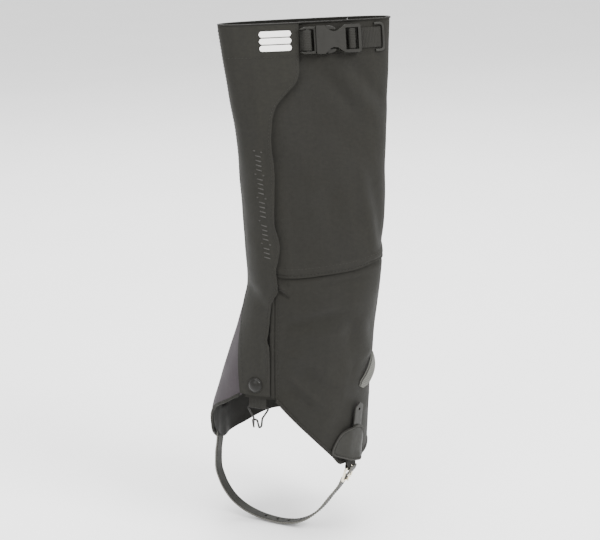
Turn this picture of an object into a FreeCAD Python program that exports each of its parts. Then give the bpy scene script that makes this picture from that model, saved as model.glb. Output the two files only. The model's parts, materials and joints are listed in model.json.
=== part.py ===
import FreeCAD, Part
import functools
import math
import os

import Sketcher
from FreeCAD import Placement, Rotation, Vector

# A knee-high mountaineering gaiter, in millimetres. The origin is the middle of the leg opening
# in the plane of the top rim. +Z points up the leg, -Y out of the closure side, and +X to the
# inner side of the ankle. Places on the sleeve are given as (angle, height): the angle runs round
# the leg from -Y at 0 towards +X at 90 degrees, and "lift" is the distance outside the fabric.

# Cross-sections of the sleeve down the leg: a rounded rectangle that is flat at the cuff and
# nearly round at the hem. Squareness is the exponent of the superellipse.
FIELDS = ("height", "left", "right", "depth", "middle", "squareness")
STATIONS = {
    "rim": (0, -86, 86, 17, 0, 2.8),
    "cuff": (-60, -79, 82.5, 25, -1, 2.8),
    "calf": (-130, -71, 78, 34, -3, 2.8),
    "shin": (-200, -68, 74.5, 42, -5, 2.8),
    "ankle": (-262, -66, 69, 50, -6, 2.7),
    "collar": (-290, -72, 66.5, 54, -2, 2.6),
    "instep": (-330, -84, 62.5, 61, 5, 2.4),
    "heel": (-370, -97, 60.5, 69, 12, 2.2),
    "hem": (-410, -109, 58.5, 75, 15.5, 2.1),
    "sole": (-470, -112, 55, 78, 16, 2.0),
}

SIZES = {
    # fabric layers
    "shell_thick": 1.1,
    "strip_inside": 0.8,
    "strip_outside": 2.0,
    "under_layer": -1.2,
    "tape_thick": 0.6,
    "binding_thick": 0.8,
    "binding_width": 7,
    "facing_depth": 30,
    # side-release buckle for 20 mm webbing
    "webbing_width": 20,
    "webbing_thick": 1.2,
    "buckle_height": 27.6,
    "buckle_thick": 8,
    "mouth_length": 9.8,
    "neck_height": 15,
    "female_length": 45.5,
    "window_start": 30,
    "window_end": 42.8,
    "window_height": 21.4,
    "ladder_bar_start": 34.2,
    "ladder_bar_width": 5.2,
    "ladder_bar_thick": 3,
    "cavity_length": 22,
    "cavity_height": 24,
    "cavity_thick": 5.4,
    "male_thick": 4.6,
    "male_rear": 16,
    "cheek_height": 26.4,
    "shoulder_height": 22.8,
    "guide_height": 4.4,
    "guide_length": 17.5,
    "arm_thick": 4.2,
    "arm_pivot_along": 2.6,
    "arm_pivot_up": 9.3,
    "buckle_lift": 5.4,
    # webbing exit
    "exit_height": 27,
    "exit_thick": 1.8,
    # snap fastener
    "snap_radius": 7.8,
    "snap_dome": 3.8,
    "socket_radius": 5.6,
    "socket_bore": 3.8,
    "stud_radius": 3.3,
    "post_radius": 5,
    # lace hook
    "hook_wire": 1.6,
    "hook_width": 25,
    "tab_width": 19.4,
    # instep strap and its prong buckle
    "strap_width": 13,
    "strap_thick": 1.8,
    "hole_radius": 1.4,
    "frame_wire": 2.5,
    "frame_inside": 17,
    "frame_length": 15.5,
    "prong_wire": 1.8,
    "chape_width": 14,
    "chape_thick": 0.8,
}

# The flap's free edge, wavy down the shin, as (x, height).
FREE_EDGE = [
    (-10, 0), (-12.5, -46), (-15, -54), (-26, -66.5), (-36.5, -78.5), (-41, -92), (-43, -115),
    (-41.5, -141), (-43.5, -193), (-40, -216), (-42.5, -232), (-44.5, -241), (-43.5, -260),
    (-50, -275), (-54, -304), (-55.5, -314), (-54, -321), (-56.3, -372),
]
FLAP_TOP = -272
FLAP_BOTTOM = -372
HINGE_TOP_X = -61
HINGE_BOTTOM_X = -79
HINGE_GAP = 0.3
BACK_SEAM = 150
STRIP_SEAM = [(0, -100), (-272, -100), (-290, -92), (-315, -73.5), (-352, -59.4), (-372, -52.9)]
ARCH_SEAM = [(-42, -247.5), (-19, -249), (4, -247.5), (24, -245.5), (45, -241), (150, -232)]
MEDIAL_HEM = [
    (-22.7, -377.5), (-3.5, -403), (22.9, -442), (31, -453), (60, -453), (90, -450), (150, -436),
]
LATERAL_HEM = [
    (-210, -436), (-180, -436), (-150, -447), (-125, -452), (-112, -442), (-98, -419),
    (-85.5, -401), (-65.5, -386), (-52.9, -374),
]
SNAP_PLACE = (-69, -361)
BUCKLE_X = 5.3
BUCKLE_HEIGHT = -16.8
EXIT_X = 71.5
HOOK_PLACE = (-69.5, -376)
LATERAL_ANGLE = -120
MEDIAL_ANGLE = 38
STRAP_TOP = -450
BAR_HEIGHT = -457.5
BAR_LIFT = 3.45
TAIL_TIP = -390


doc = FreeCAD.newDocument("gaiter")
dims = doc.addObject("Spreadsheet::Sheet", "dims")


def fill_sheet():
    """Writes every driving dimension into the sheet, one row each, with its alias."""
    values = dict(SIZES)
    for station, row in STATIONS.items():
        values.update({f"{station}_{field}": value for field, value in zip(FIELDS, row)})
    for row, (alias, value) in enumerate(values.items(), 1):
        dims.set(f"A{row}", alias)
        dims.set(f"B{row}", str(value))
        dims.setAlias(f"B{row}", alias)
    doc.recompute()


def size(alias):
    return float(dims.get(alias))


# ---------------------------------------------------------------- the sleeve's surface


def smooth_value(points, at):
    """Monotone cubic curve through (position, value) points, held at its end values."""
    ordered = sorted(points)
    at = min(max(at, ordered[0][0]), ordered[-1][0])
    steps = [(b[1] - a[1]) / (b[0] - a[0]) for a, b in zip(ordered, ordered[1:])]
    slopes = [steps[0]]
    for before, after in zip(steps, steps[1:]):
        turning = before * after <= 0
        slopes.append(0.0 if turning else 2 * before * after / (before + after))
    slopes.append(steps[-1])
    k = 0
    while at > ordered[k + 1][0]:
        k += 1
    span = ordered[k + 1][0] - ordered[k][0]
    t = (at - ordered[k][0]) / span
    rise = t * t * (3 - 2 * t)
    value = ordered[k][1] * (1 - rise) + ordered[k + 1][1] * rise
    value += span * t * (1 - t) ** 2 * slopes[k]
    return value - span * t * t * (1 - t) * slopes[k + 1]


def smooth_step(t):
    t = min(max(t, 0.0), 1.0)
    return t * t * (3 - 2 * t)


@functools.lru_cache(maxsize=None)
def section(height):
    """Left edge, right edge, half depth, middle y and squareness at one height."""
    rows = {s: [size(f"{s}_{field}") for field in FIELDS] for s in STATIONS}
    return [
        smooth_value([(row[0], row[k]) for row in rows.values()], height)
        for k in range(1, len(FIELDS))
    ]


def on_section(angle, height):
    left, right, depth, middle, squareness = section(round(height, 3))
    across = math.sin(math.radians(angle))
    outward = math.cos(math.radians(angle))
    reach = (abs(across) ** squareness + abs(outward) ** squareness) ** (-1 / squareness)
    x = (left + right) / 2 + (right - left) / 2 * reach * across
    return Vector(x, middle - depth * reach * outward, height)


def sleeve_point(angle, height, lift=0.0):
    along = on_section(angle + 0.5, height) - on_section(angle - 0.5, height)
    along.normalize()
    return on_section(angle, height) + Vector(along.y, -along.x, 0) * lift


def front_angle(x, height):
    """The angle of the front face's point at this x."""
    low, high = -90.0, 90.0
    for _ in range(40):
        middle = (low + high) / 2
        if on_section(middle, height).x < x:
            low = middle
        else:
            high = middle
    return (low + high) / 2


def seat(angle, height, lift):
    """Local frame on the sleeve: +X round the leg, +Z up the fabric, -Y outwards."""
    across = sleeve_point(angle + 1, height) - sleeve_point(angle - 1, height)
    up = sleeve_point(angle, height + 2) - sleeve_point(angle, height - 2)
    inward = up.cross(across)
    turn = Rotation(across, inward, up, "XZY")
    return Placement(sleeve_point(angle, height) - inward.normalize() * lift, turn)


def button_seat(angle, height, lift):
    """The same frame turned so that its +Z points outwards."""
    return seat(angle, height, lift) * Placement(Vector(), Rotation(Vector(1, 0, 0), 90))


# ---------------------------------------------------------------- fabric panels


def down(points):
    """Edge that runs down the leg through (height, angle) points."""
    start, end = points[0][0], points[-1][0]

    def place(t):
        height = start + (end - start) * t
        return smooth_value(points, height), height

    return place


def around(points):
    """Edge that runs round the leg through (angle, height) points."""
    start, end = points[0][0], points[-1][0]

    def place(t):
        angle = start + (end - start) * t
        return angle, smooth_value(points, angle)

    return place


def down_front(points, shift=0.0):
    """Edge that runs down the front through (x, height) points."""
    return down([(height, front_angle(x + shift, height)) for x, height in points])


def clip(edge, top, bottom):
    """The stretch of a front edge between two heights, as (x, height) points."""
    by_height = [(height, x) for x, height in edge]
    inner = [(x, height) for x, height in edge if bottom < height < top]
    ends = [(smooth_value(by_height, height), height) for height in (top, bottom)]
    return [ends[0], *inner, ends[1]]


def patch_place(sides, s, t):
    """Coons patch between left, right, top and bottom edges in (angle, height)."""
    left, right, top, bottom = sides
    place = []
    for k in range(2):
        across = (1 - s) * left(t)[k] + s * right(t)[k]
        along = (1 - t) * top(s)[k] + t * bottom(s)[k]
        upper = (1 - s) * left(0)[k] + s * right(0)[k]
        lower = (1 - s) * left(1)[k] + s * right(1)[k]
        place.append(across + along - (1 - t) * upper - t * lower)
    return place


def lift_at(lift, angle, height):
    return lift(angle, height) if callable(lift) else lift


def sheet_solid(outer, inner):
    """Closed sheet between two smooth surfaces given as matching grids of points."""
    faces = []
    for grid in (outer, inner):
        surface = Part.BSplineSurface()
        surface.interpolate(grid)
        faces.append(surface.toShape())
    rims = zip(faces[0].Edges, faces[1].Edges)
    shell = Part.makeShell(faces + [Part.makeRuledSurface(a, b, 1) for a, b in rims])
    shell.sewShape()
    solid = Part.makeSolid(Part.Shell(shell.Faces))
    if solid.Volume < 0:
        solid.reverse()
    return solid


def panel_shape(sides, outer, inner, columns, rows):
    """Closed fabric sheet on the sleeve, from its outer to its inner lift."""
    grids = []
    for lift in (outer, inner):
        grid = []
        for i in range(columns + 1):
            places = [patch_place(sides, i / columns, j / rows) for j in range(rows + 1)]
            grid.append([sleeve_point(a, z, lift_at(lift, a, z)) for a, z in places])
        grids.append(grid)
    return sheet_solid(*grids)


def add_shape(label, shape, placement=None):
    feature = doc.addObject("Part::Feature", label)
    feature.Shape = shape
    if placement:
        feature.Placement = placement
    return feature


def add_panel(label, sides, outer, inner, columns=16, rows=16):
    return add_shape(label, panel_shape(sides, outer, inner, columns, rows))


def hinge_x(height):
    share = (height - FLAP_TOP) / (FLAP_BOTTOM - FLAP_TOP)
    return HINGE_TOP_X + (HINGE_BOTTOM_X - HINGE_TOP_X) * share


def hinge_edge(top, bottom, shift):
    """Edge beside the flap's straight line of bend."""
    heights = [top + (bottom - top) * k / 6 for k in range(7)]
    return down_front([(hinge_x(z) + shift, z) for z in heights])


def free_x(height):
    return smooth_value([(z, x) for x, z in FREE_EDGE], height)


def straight_around(start, end):
    """Edge between two (angle, height) corners."""
    return around([start, end])


def box_sides(left, right):
    """Sides of a panel whose top and bottom join its left and right edges straight."""
    return left, right, straight_around(left(0), right(0)), straight_around(left(1), right(1))


def medial_lift(angle, height):
    """The upper medial panel dips under the front strip, so that the strip lies over it."""
    if not -90 < angle < 90:
        return 0.0
    x = on_section(angle, height).x
    return size("under_layer") * smooth_step((free_x(height) + 12 - x) / 12)


def build_upper_panels():
    thick = size("shell_thick")
    top = size("rim_height")
    tucked = [(-56, 0), (-60, -60), (-61, -130), (-62, -200), (-60, -247.5)]
    left = down_front(tucked)
    right = down([(top, BACK_SEAM), (ARCH_SEAM[-1][1], BACK_SEAM)])
    seam = [left(1), *ARCH_SEAM[1:]]
    sides = (left, right, straight_around(left(0), right(0)), around(seam))
    inner = lambda angle, height: medial_lift(angle, height) - thick
    add_panel("medial_upper_panel", sides, medial_lift, inner, 64, 32)

    free = down_front(clip(FREE_EDGE, 0, FLAP_TOP))
    seam_edge = down([point for point in STRIP_SEAM if point[0] >= FLAP_TOP])
    add_panel(
        "front_strip", box_sides(seam_edge, free), size("strip_outside"), size("strip_inside"), 16, 48
    )


def build_lower_panels():
    thick = size("shell_thick")
    front = [(-46.6, -249), (-47, -272), (-49.1, -322), (-51, -377.5)]
    left = down_front(front)
    right = down([(ARCH_SEAM[-1][1] - 0.4, BACK_SEAM), (MEDIAL_HEM[-1][1], BACK_SEAM)])
    seam = [(angle, height - 0.4) for angle, height in ARCH_SEAM]
    seam = [left(0), *seam[1:]]
    hem = [left(1), *MEDIAL_HEM[1:]]
    sides = (left, right, around(seam), around(hem))
    add_panel("medial_lower_panel", sides, 0.0, -thick, 40, 24)

    edge = clip(front, -274, -369)
    bound = box_sides(down_front(edge), down_front(edge, 4.5))
    add_panel("edge_binding", bound, 0.8, 0.1, 3, 12)

    seam_edge = down([(z, angle) for z, angle in STRIP_SEAM if z <= FLAP_TOP])
    margin = box_sides(seam_edge, hinge_edge(FLAP_TOP, FLAP_BOTTOM, -HINGE_GAP))
    add_panel("flap_margin", margin, size("strip_outside"), size("strip_inside"), 8, 16)

    tucked = hinge_edge(-251, -376, -2)
    outer_edge = down_front([(-42, -251), (-43, -272), (-46, -376)])
    under = size("under_layer")
    add_panel("underlap", box_sides(tucked, outer_edge), under, under - thick, 10, 20)


def build_lateral_panel():
    """The stretch-woven outer side, from the back seam round to the strip's seam."""
    thick = size("shell_thick")
    left = down([(0, BACK_SEAM - 360 + 0.3), (-436, BACK_SEAM - 360 + 0.3)])
    right = down([(z, angle + 1.5) for z, angle in STRIP_SEAM[:-1]] + [(-374, -52)])
    hem = [left(1), *LATERAL_HEM[1:-1], right(1)]
    sides = (left, right, straight_around(left(0), right(0)), around(hem))
    add_panel("lateral_panel", sides, 0.0, -thick, 48, 48)


def build_bindings():
    """Folded bindings of the hem, the rim, the inside of the cuff and the back seam."""
    width, thick = size("binding_width"), size("binding_thick")
    hems = {
        "hem_binding_medial": MEDIAL_HEM,
        "hem_binding_lateral": LATERAL_HEM[:-1] + [(-57, -378.4)],
    }
    for label, hem in hems.items():
        low = around(hem)
        high = around([(angle, height + width) for angle, height in hem])
        sides = (
            lambda t, high=high, low=low: mix(high(0), low(0), t),
            lambda t, high=high, low=low: mix(high(1), low(1), t),
            high,
            low,
        )
        add_panel(label, sides, 0.25 + thick, 0.25, 60, 3)

    start, end = BACK_SEAM - 359.6, BACK_SEAM - 0.4
    bottom = -size("facing_depth")
    facing = box_sides(down([(-3, start), (bottom, start)]), down([(-3, end), (bottom, end)]))
    add_panel("cuff_facing", facing, -2.5, -3.5, 60, 4)
    rim = box_sides(down([(1.6, start), (0.2, start)]), down([(1.6, end), (0.2, end)]))
    add_panel("rim_binding", rim, 2.2, -3.5, 60, 2)

    tape = box_sides(down([(-2, 146), (-430, 144)]), down([(-2, 154), (-430, 156)]))
    add_panel("back_seam_tape", tape, -1.3, -2.1, 4, 40)


def mix(first, second, t):
    return tuple(a * (1 - t) + b * t for a, b in zip(first, second))


# ---------------------------------------------------------------- flap closure


def build_flap():
    free = down_front(clip(FREE_EDGE, FLAP_TOP - 0.5, FLAP_BOTTOM))
    sides = box_sides(hinge_edge(FLAP_TOP - 0.5, FLAP_BOTTOM, HINGE_GAP), free)
    add_panel("storm_flap", sides, size("strip_outside"), size("strip_inside"), 8, 24)


def build_closure_tapes():
    """Hook tape under the strip and the flap, and loop tape facing it."""
    thick = size("tape_thick")
    runs = {"upper": (-62, -244), "lower": (-277, -347)}
    for name, (top, bottom) in runs.items():
        heights = [top + (bottom - top) * k / 8 for k in range(9)]
        width = 20 if name == "upper" else 14
        inner_edge = [(max(free_x(z) - width, hinge_x(z) + 4 if z < FLAP_TOP else -90), z) for z in heights]
        outer_edge = [(free_x(z) - 2.5, z) for z in heights]
        sides = box_sides(down_front(inner_edge), down_front(outer_edge))
        add_panel(f"hook_tape_{name}", sides, thick, 0.0, 4, 24)
        add_panel(f"loop_tape_{name}", sides, -0.35, -0.35 - thick, 4, 24)


def button(kind, label, place, lift, **sizes):
    piece = doc.addObject(kind, label)
    for name, expression in sizes.items():
        piece.setExpression(name, expression)
    piece.Placement = button_seat(front_angle(*place), place[1], lift)
    return piece


def build_snap():
    cap = new_body("snap_cap")
    dome = cap.newObject("PartDesign::AdditiveEllipsoid", "Dome")
    dome.setExpression("Radius1", "dims.snap_dome")
    dome.setExpression("Radius2", "dims.snap_radius")
    dome.setExpression("Radius3", "dims.snap_radius")
    dome.Angle1 = 0
    cap.Placement = button_seat(front_angle(*SNAP_PLACE), SNAP_PLACE[1], 2.1)

    rise = {"Height": "0.85"}
    outer = button("Part::Cylinder", "SocketOuter", SNAP_PLACE, -0.45, Radius="dims.socket_radius", **rise)
    bore = button("Part::Cylinder", "SocketBore", SNAP_PLACE, -0.45, Radius="dims.socket_bore", **rise)
    socket = doc.addObject("Part::Cut", "snap_socket")
    socket.Base = outer
    socket.Tool = bore
    button("Part::Cylinder", "snap_stud", SNAP_PLACE, -1.15, Radius="dims.stud_radius", Height="1.45")
    button("Part::Cylinder", "snap_post", SNAP_PLACE, -3.4, Radius="dims.post_radius", Height="0.9")


# ---------------------------------------------------------------- sketched hardware


def new_body(label):
    return doc.addObject("PartDesign::Body", label)


def new_sketch(body, role):
    sketch = body.newObject("Sketcher::SketchObject", body.Name + role + "Sketch")
    plane = [f for f in body.Origin.OriginFeatures if f.Role == role][0]
    sketch.AttachmentSupport = [(plane, "")]
    sketch.MapMode = "FlatFace"
    return sketch


def outline(sketch, corners):
    """Closed polygon, each corner a pair of expressions that stay bound to the sheet."""
    spots = [Vector(*[float(sketch.evalExpression(e)) for e in corner], 0) for corner in corners]
    first = sketch.GeometryCount
    count = len(spots)
    for k in range(count):
        sketch.addGeometry(Part.LineSegment(spots[k], spots[(k + 1) % count]), False)
    for k in range(count):
        sketch.addConstraint(Sketcher.Constraint("Coincident", first + k, 2, first + (k + 1) % count, 1))
    for k, corner in enumerate(corners):
        for kind, expression, spot in zip(("DistanceX", "DistanceY"), corner, spots[k]):
            index = sketch.addConstraint(Sketcher.Constraint(kind, -1, 1, first + k, 1, spot))
            sketch.setExpression(f"Constraints[{index}]", expression)


def mirrored(corners):
    """An upper half outline followed by its mirror image below the axis."""
    return corners + [(x, f"-({y})") for x, y in reversed(corners)]


def rectangle(left, right, half):
    return mirrored([(left, half), (right, half)])


def pad(body, sketch, length):
    feature = body.newObject("PartDesign::Pad", "Pad")
    feature.Profile = sketch
    feature.SideType = "Symmetric"
    feature.setExpression("Length", length)
    return feature


def plate(label, outlines, thick, placement):
    """Plate in its own XZ plane, centred on it, with any inner outlines as holes."""
    body = new_body(label)
    sketch = new_sketch(body, "XZ_Plane")
    for corners in outlines:
        outline(sketch, corners)
    pad(body, sketch, thick)
    body.Placement = placement
    return body


def buckle_seat():
    return seat(front_angle(BUCKLE_X + 20, BUCKLE_HEIGHT), BUCKLE_HEIGHT, size("buckle_lift")) * Placement(
        Vector(-20, 0, 0), Rotation()
    )


def build_buckle():
    here = buckle_seat()
    build_male(here)
    build_female(here)
    build_arms(here)
    ring = new_body("webbing_wrap")
    sketch = new_sketch(ring, "XY_Plane")
    middle = "(dims.ladder_bar_start + dims.ladder_bar_width / 2)"
    half = "(dims.ladder_bar_width / 2 + 0.2)"
    outer_start, outer_end = f"{middle} - {half} - 1.2", f"{middle} + {half} + 1.2"
    outline(sketch, rectangle(outer_start, outer_end, "dims.ladder_bar_thick / 2 + 1.4"))
    outline(sketch, rectangle(f"{middle} - {half}", f"{middle} + {half}", "dims.ladder_bar_thick / 2 + 0.2"))
    pad(ring, sketch, "dims.webbing_width")
    ring.Placement = here


def build_male(here):
    """Forked frame with the webbing bar, the shoulder in the mouth and the centre guide."""
    cheek, shoulder = "dims.cheek_height / 2", "dims.shoulder_height / 2"
    slot, guide = "dims.window_height / 2", "dims.guide_height / 2"
    half = [
        ("-10", slot), ("-dims.male_rear", slot), ("-dims.male_rear + 1", f"{slot} + 1.3"),
        ("-dims.male_rear + 5", cheek), ("-0.4", cheek), ("-0.4", shoulder), ("2", shoulder),
        ("2", guide), ("dims.guide_length - 1", guide), ("dims.guide_length", f"{guide} - 0.8"),
    ]
    holes = rectangle("-6.8", "-2.2", slot)
    plate("buckle_male", [mirrored(half), holes], "dims.male_thick", here)


def build_female(here):
    """Mouth, scooped waist and ladder frame, hollow inside for the guide and the arms."""
    tall, neck = "dims.buckle_height / 2", "dims.neck_height / 2"
    half = [
        ("0", f"{tall} - 0.8"), ("0.8", tall), ("dims.mouth_length - 1", tall),
        ("dims.mouth_length", f"{tall} - 0.9"), ("dims.mouth_length + 1.8", f"{neck} + 3.6"),
        ("dims.mouth_length + 4.4", f"{neck} + 1.3"), ("dims.mouth_length + 8.2", neck),
        ("dims.mouth_length + 12", f"{neck} + 1"), ("dims.window_start - 5", f"{neck} + 3.2"),
        ("dims.window_start - 1.8", f"{tall} - 0.8"), ("dims.window_start", tall),
        ("dims.female_length - 1.6", tall), ("dims.female_length", f"{tall} - 1.6"),
    ]
    window = rectangle("dims.window_start", "dims.window_end", "dims.window_height / 2")
    body = plate("buckle_female", [mirrored(half), window], "dims.buckle_thick", here)
    bar_end = "dims.ladder_bar_start + dims.ladder_bar_width"
    bar = new_sketch(body, "XZ_Plane")
    outline(bar, rectangle("dims.ladder_bar_start", bar_end, "dims.window_height / 2 + 0.5"))
    pad(body, bar, "dims.ladder_bar_thick")
    doc.recompute()
    before = body.Shape.Volume
    mouth = new_sketch(body, "YZ_Plane")
    outline(mouth, rectangle("-dims.cavity_thick / 2", "dims.cavity_thick / 2", "dims.cavity_height / 2"))
    cavity = body.newObject("PartDesign::Pocket", "Cavity")
    cavity.Profile = mouth
    cavity.Reversed = True
    cavity.setExpression("Length", "dims.cavity_length")
    doc.recompute()
    if body.Shape.Volume > before - 1000:
        raise RuntimeError("the buckle's cavity cut nothing")


def build_arms(here):
    """The two sprung release arms, each from its root in the shoulder to its barbed head."""
    root, rise = "dims.arm_pivot_along", "dims.arm_pivot_up"
    corners = [
        (root, f"{rise} - 1.2"), (root, f"{rise} + 1.2"), ("dims.mouth_length - 0.6", "11.2"),
        ("dims.mouth_length + 1", "11.4"), ("dims.mouth_length + 1", "13.4"),
        ("dims.mouth_length + 3", "13.8"), ("dims.mouth_length + 8", "12.6"),
        ("dims.mouth_length + 10.5", "10.4"), ("dims.mouth_length + 10", "9.2"),
        ("dims.mouth_length + 6", "9.6"), ("dims.mouth_length", "9"),
    ]
    plate("release_arm_upper", [corners], "dims.arm_thick", here)
    flipped = [(x, f"-({y})") for x, y in corners]
    plate("release_arm_lower", [flipped], "dims.arm_thick", here)


def build_webbing():
    thick, width = size("webbing_thick"), size("webbing_width")
    here = buckle_seat()
    # a folded loop: out from under the strip, up over the male half's bar and back under it
    path = [(-30, 6.95), (-14.8, 6.35), (-11.8, -3.2), (-5.6, -3.2), (-5.6, 3.2), (-11.4, 3.2)]
    points = [Vector(x, y, 0) for x, y in path]
    loop = ribbon(points, Vector(0, 0, 1), width, thick, 1.2)
    add_shape("buckle_webbing", loop, here)

    top, bottom = BUCKLE_HEIGHT + width / 2, BUCKLE_HEIGHT - width / 2
    near_side = down_front([(47, top), (47, bottom)])
    far_side = down_front([(EXIT_X + 1, top), (EXIT_X + 1, bottom)])
    run = box_sides(near_side, far_side)
    add_panel("cuff_webbing", run, 0.3 + thick, 0.3, 8, 3)

    half = "dims.exit_height / 2"
    corners = [
        ("-6", f"{half} - 2.2"), ("-6", half), ("3", half), ("5.5", f"{half} - 2.5"),
    ]
    inside = [("2.6", f"-({half} - 3.4)"), ("1.4", f"-({half} - 2.2)")]
    lower = [(x, f"-({y})") for x, y in reversed(corners)]
    upper_inside = [("1.4", f"{half} - 2.2"), ("2.6", f"{half} - 3.4")]
    plate(
        "webbing_exit",
        [corners + lower + list(reversed(inside)) + list(reversed(upper_inside))],
        "dims.exit_thick",
        seat(front_angle(EXIT_X, BUCKLE_HEIGHT), BUCKLE_HEIGHT, 0.4 + size("exit_thick") / 2),
    )


def build_reflective_bars():
    """Three short reflective bars of equal length on the cuff, all one node."""
    bars = []
    for height in (-8.8, -15.6, -22.4):
        left = down_front([(-50, height + 3), (-50, height - 3)])
        right = down_front([(-18, height + 3), (-18, height - 3)])
        bars.append(panel_shape(box_sides(left, right), 2.35, 2.05, 6, 2))
    add_shape("reflective_bars", Part.makeCompound(bars))


# ---------------------------------------------------------------- swept wire and ribbon


def rounded_path(points, most=None):
    """Straight runs joined by tangent arcs, each as large as its two runs allow."""
    edges = []
    start = points[0]
    for before, corner, after in zip(points, points[1:], points[2:]):
        back, ahead = before - corner, after - corner
        half = back.getAngle(ahead) / 2
        cut = 0.45 * min(back.Length, ahead.Length)
        if most:
            cut = min(cut, most / math.tan(half))
        radius = cut * math.tan(half)
        back.normalize()
        ahead.normalize()
        middle = (back + ahead).normalize()
        nearest = corner + middle * (radius / math.sin(half) - radius)
        enter, leave = corner + back * cut, corner + ahead * cut
        edges.append(Part.LineSegment(start, enter).toShape())
        edges.append(Part.Arc(enter, nearest, leave).toShape())
        start = leave
    edges.append(Part.LineSegment(start, points[-1]).toShape())
    return Part.Wire(edges)


def swept(path, profile):
    solid = path.makePipeShell([profile], True, False)
    if solid.Volume < 0:
        solid.reverse()
    return solid


def ribbon(points, across, width, thick, most=None):
    """Flat band swept along a path in the plane that "across" is normal to."""
    path = rounded_path(points, most)
    along = (points[1] - points[0]).normalize()
    face = along.cross(across).normalize()
    half_width, half_thick = width / 2, thick / 2
    corners = [
        (half_width, half_thick), (-half_width, half_thick),
        (-half_width, -half_thick), (half_width, -half_thick),
    ]
    spots = [points[0] + across * a + face * b for a, b in corners]
    return swept(path, Part.makePolygon(spots + spots[:1]))


def wire_rod(points, diameter, most=None):
    path = rounded_path(points, most)
    circle = Part.makeCircle(diameter / 2, points[0], points[1] - points[0])
    return swept(path, Part.Wire([circle]))


def build_lace_hook():
    """Fabric tab folded round the top bar of a bent wire hook."""
    here = seat(front_angle(*HOOK_PLACE), HOOK_PLACE[1], 0)
    bar = hook_bar()
    inside = 1.45
    legs = [
        Vector(0, bar.y - inside, 8), Vector(0, bar.y - inside, bar.z - inside),
        Vector(0, bar.y + inside, bar.z - inside), Vector(0, bar.y + inside, 8),
    ]
    tab = ribbon(legs, Vector(1, 0, 0), size("tab_width"), 0.8, 1.3)
    add_shape("lace_hook_tab", tab, here)

    half = size("hook_width") / 2
    side = [(2, 0, 0), (half, 0, 0), (4.8, 0, -12), (4.4, 0.6, -20), (3, 3, -21.5), (2.6, 8, -12)]
    left = [bar + Vector(-x, -out, drop) for x, out, drop in side]
    right = [bar + Vector(x, -out, drop) for x, out, drop in reversed(side)]
    add_shape("lace_hook", wire_rod(left + right, size("hook_wire"), 1.9), here)


def hook_bar():
    """Centre of the lace hook's top bar in the tab's own frame."""
    return Vector(0, 5.2, -8.6)


# ---------------------------------------------------------------- instep strap


def strap_frame():
    """The upright plane through both strap ends: its origin, its direction and its normal."""
    lateral = sleeve_point(LATERAL_ANGLE, STRAP_TOP, -3.7)
    medial = sleeve_point(MEDIAL_ANGLE, BAR_HEIGHT, BAR_LIFT)
    inward = Vector(medial.x - lateral.x, medial.y - lateral.y, 0)
    span = inward.Length
    inward.normalize()
    toe = inward.cross(Vector(0, 0, 1))
    return lateral, inward, toe, span


def in_plane(along, height):
    lateral, inward, _, _ = strap_frame()
    return Vector(lateral.x, lateral.y, 0) + inward * along + Vector(0, 0, height)


def buckle_axes():
    """Pivot bar's centre, the strap's upward direction there and the outward direction."""
    _, inward, _, span = strap_frame()
    rise = (inward * 0.34 + Vector(0, 0, 1)).normalize()
    toe = inward.cross(Vector(0, 0, 1))
    outward = rise.cross(toe).normalize()
    if outward.dot(inward) < 0:
        outward = outward * -1
    return in_plane(span, BAR_HEIGHT), rise, outward


def strap_points():
    """From the lateral anchor under the boot, behind the buckle's far bar and over its pivot bar."""
    bar, rise, outward = buckle_axes()
    hanging = [(0, STRAP_TOP - 1), (-5, -488), (20, -526), (70, -538), (114, -525)]
    threading = [(27, -4.2), (13.6, -2.7), (2.4, 3.6), (-3, 3.6)]
    run = [in_plane(along, height) for along, height in hanging]
    return run + [bar - rise * down + outward * out for down, out in threading]


def build_strap():
    _, _, toe, _ = strap_frame()
    bar, rise, outward = buckle_axes()
    points = strap_points()
    width, thick = size("strap_width"), size("strap_thick")
    band = ribbon(points, toe, width, thick)
    slot = Part.makeBox(3.4, 14, 14)
    turn = Rotation(toe, outward, rise, "ZXY")
    slot.Placement = Placement(bar - rise * 12.2 - outward * 6 - toe * 1.7, turn)
    band = band.cut(slot)
    for share in (0.3, 0.4, 0.5, 0.6, 0.86):
        band = band.cut(strap_hole(rounded_path(points), share, toe))
    add_shape("instep_strap", band)

    anchor = [sleeve_point(LATERAL_ANGLE, height, -3.7) for height in (-422, -437, STRAP_TOP + 0.6)]
    add_shape("strap_anchor", ribbon(anchor, toe, width, thick))


def strap_hole(path, share, toe):
    """Punch through the strap at a share of its length."""
    distance = path.Length * share
    for edge in path.OrderedEdges:
        if distance <= edge.Length:
            break
        distance -= edge.Length
    parameter = edge.getParameterByLength(distance)
    spot = edge.valueAt(parameter)
    through = edge.tangentAt(parameter).cross(toe).normalize()
    reach = size("strap_thick") * 2
    return Part.makeCylinder(size("hole_radius"), reach * 2, spot - through * reach, through)


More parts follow.
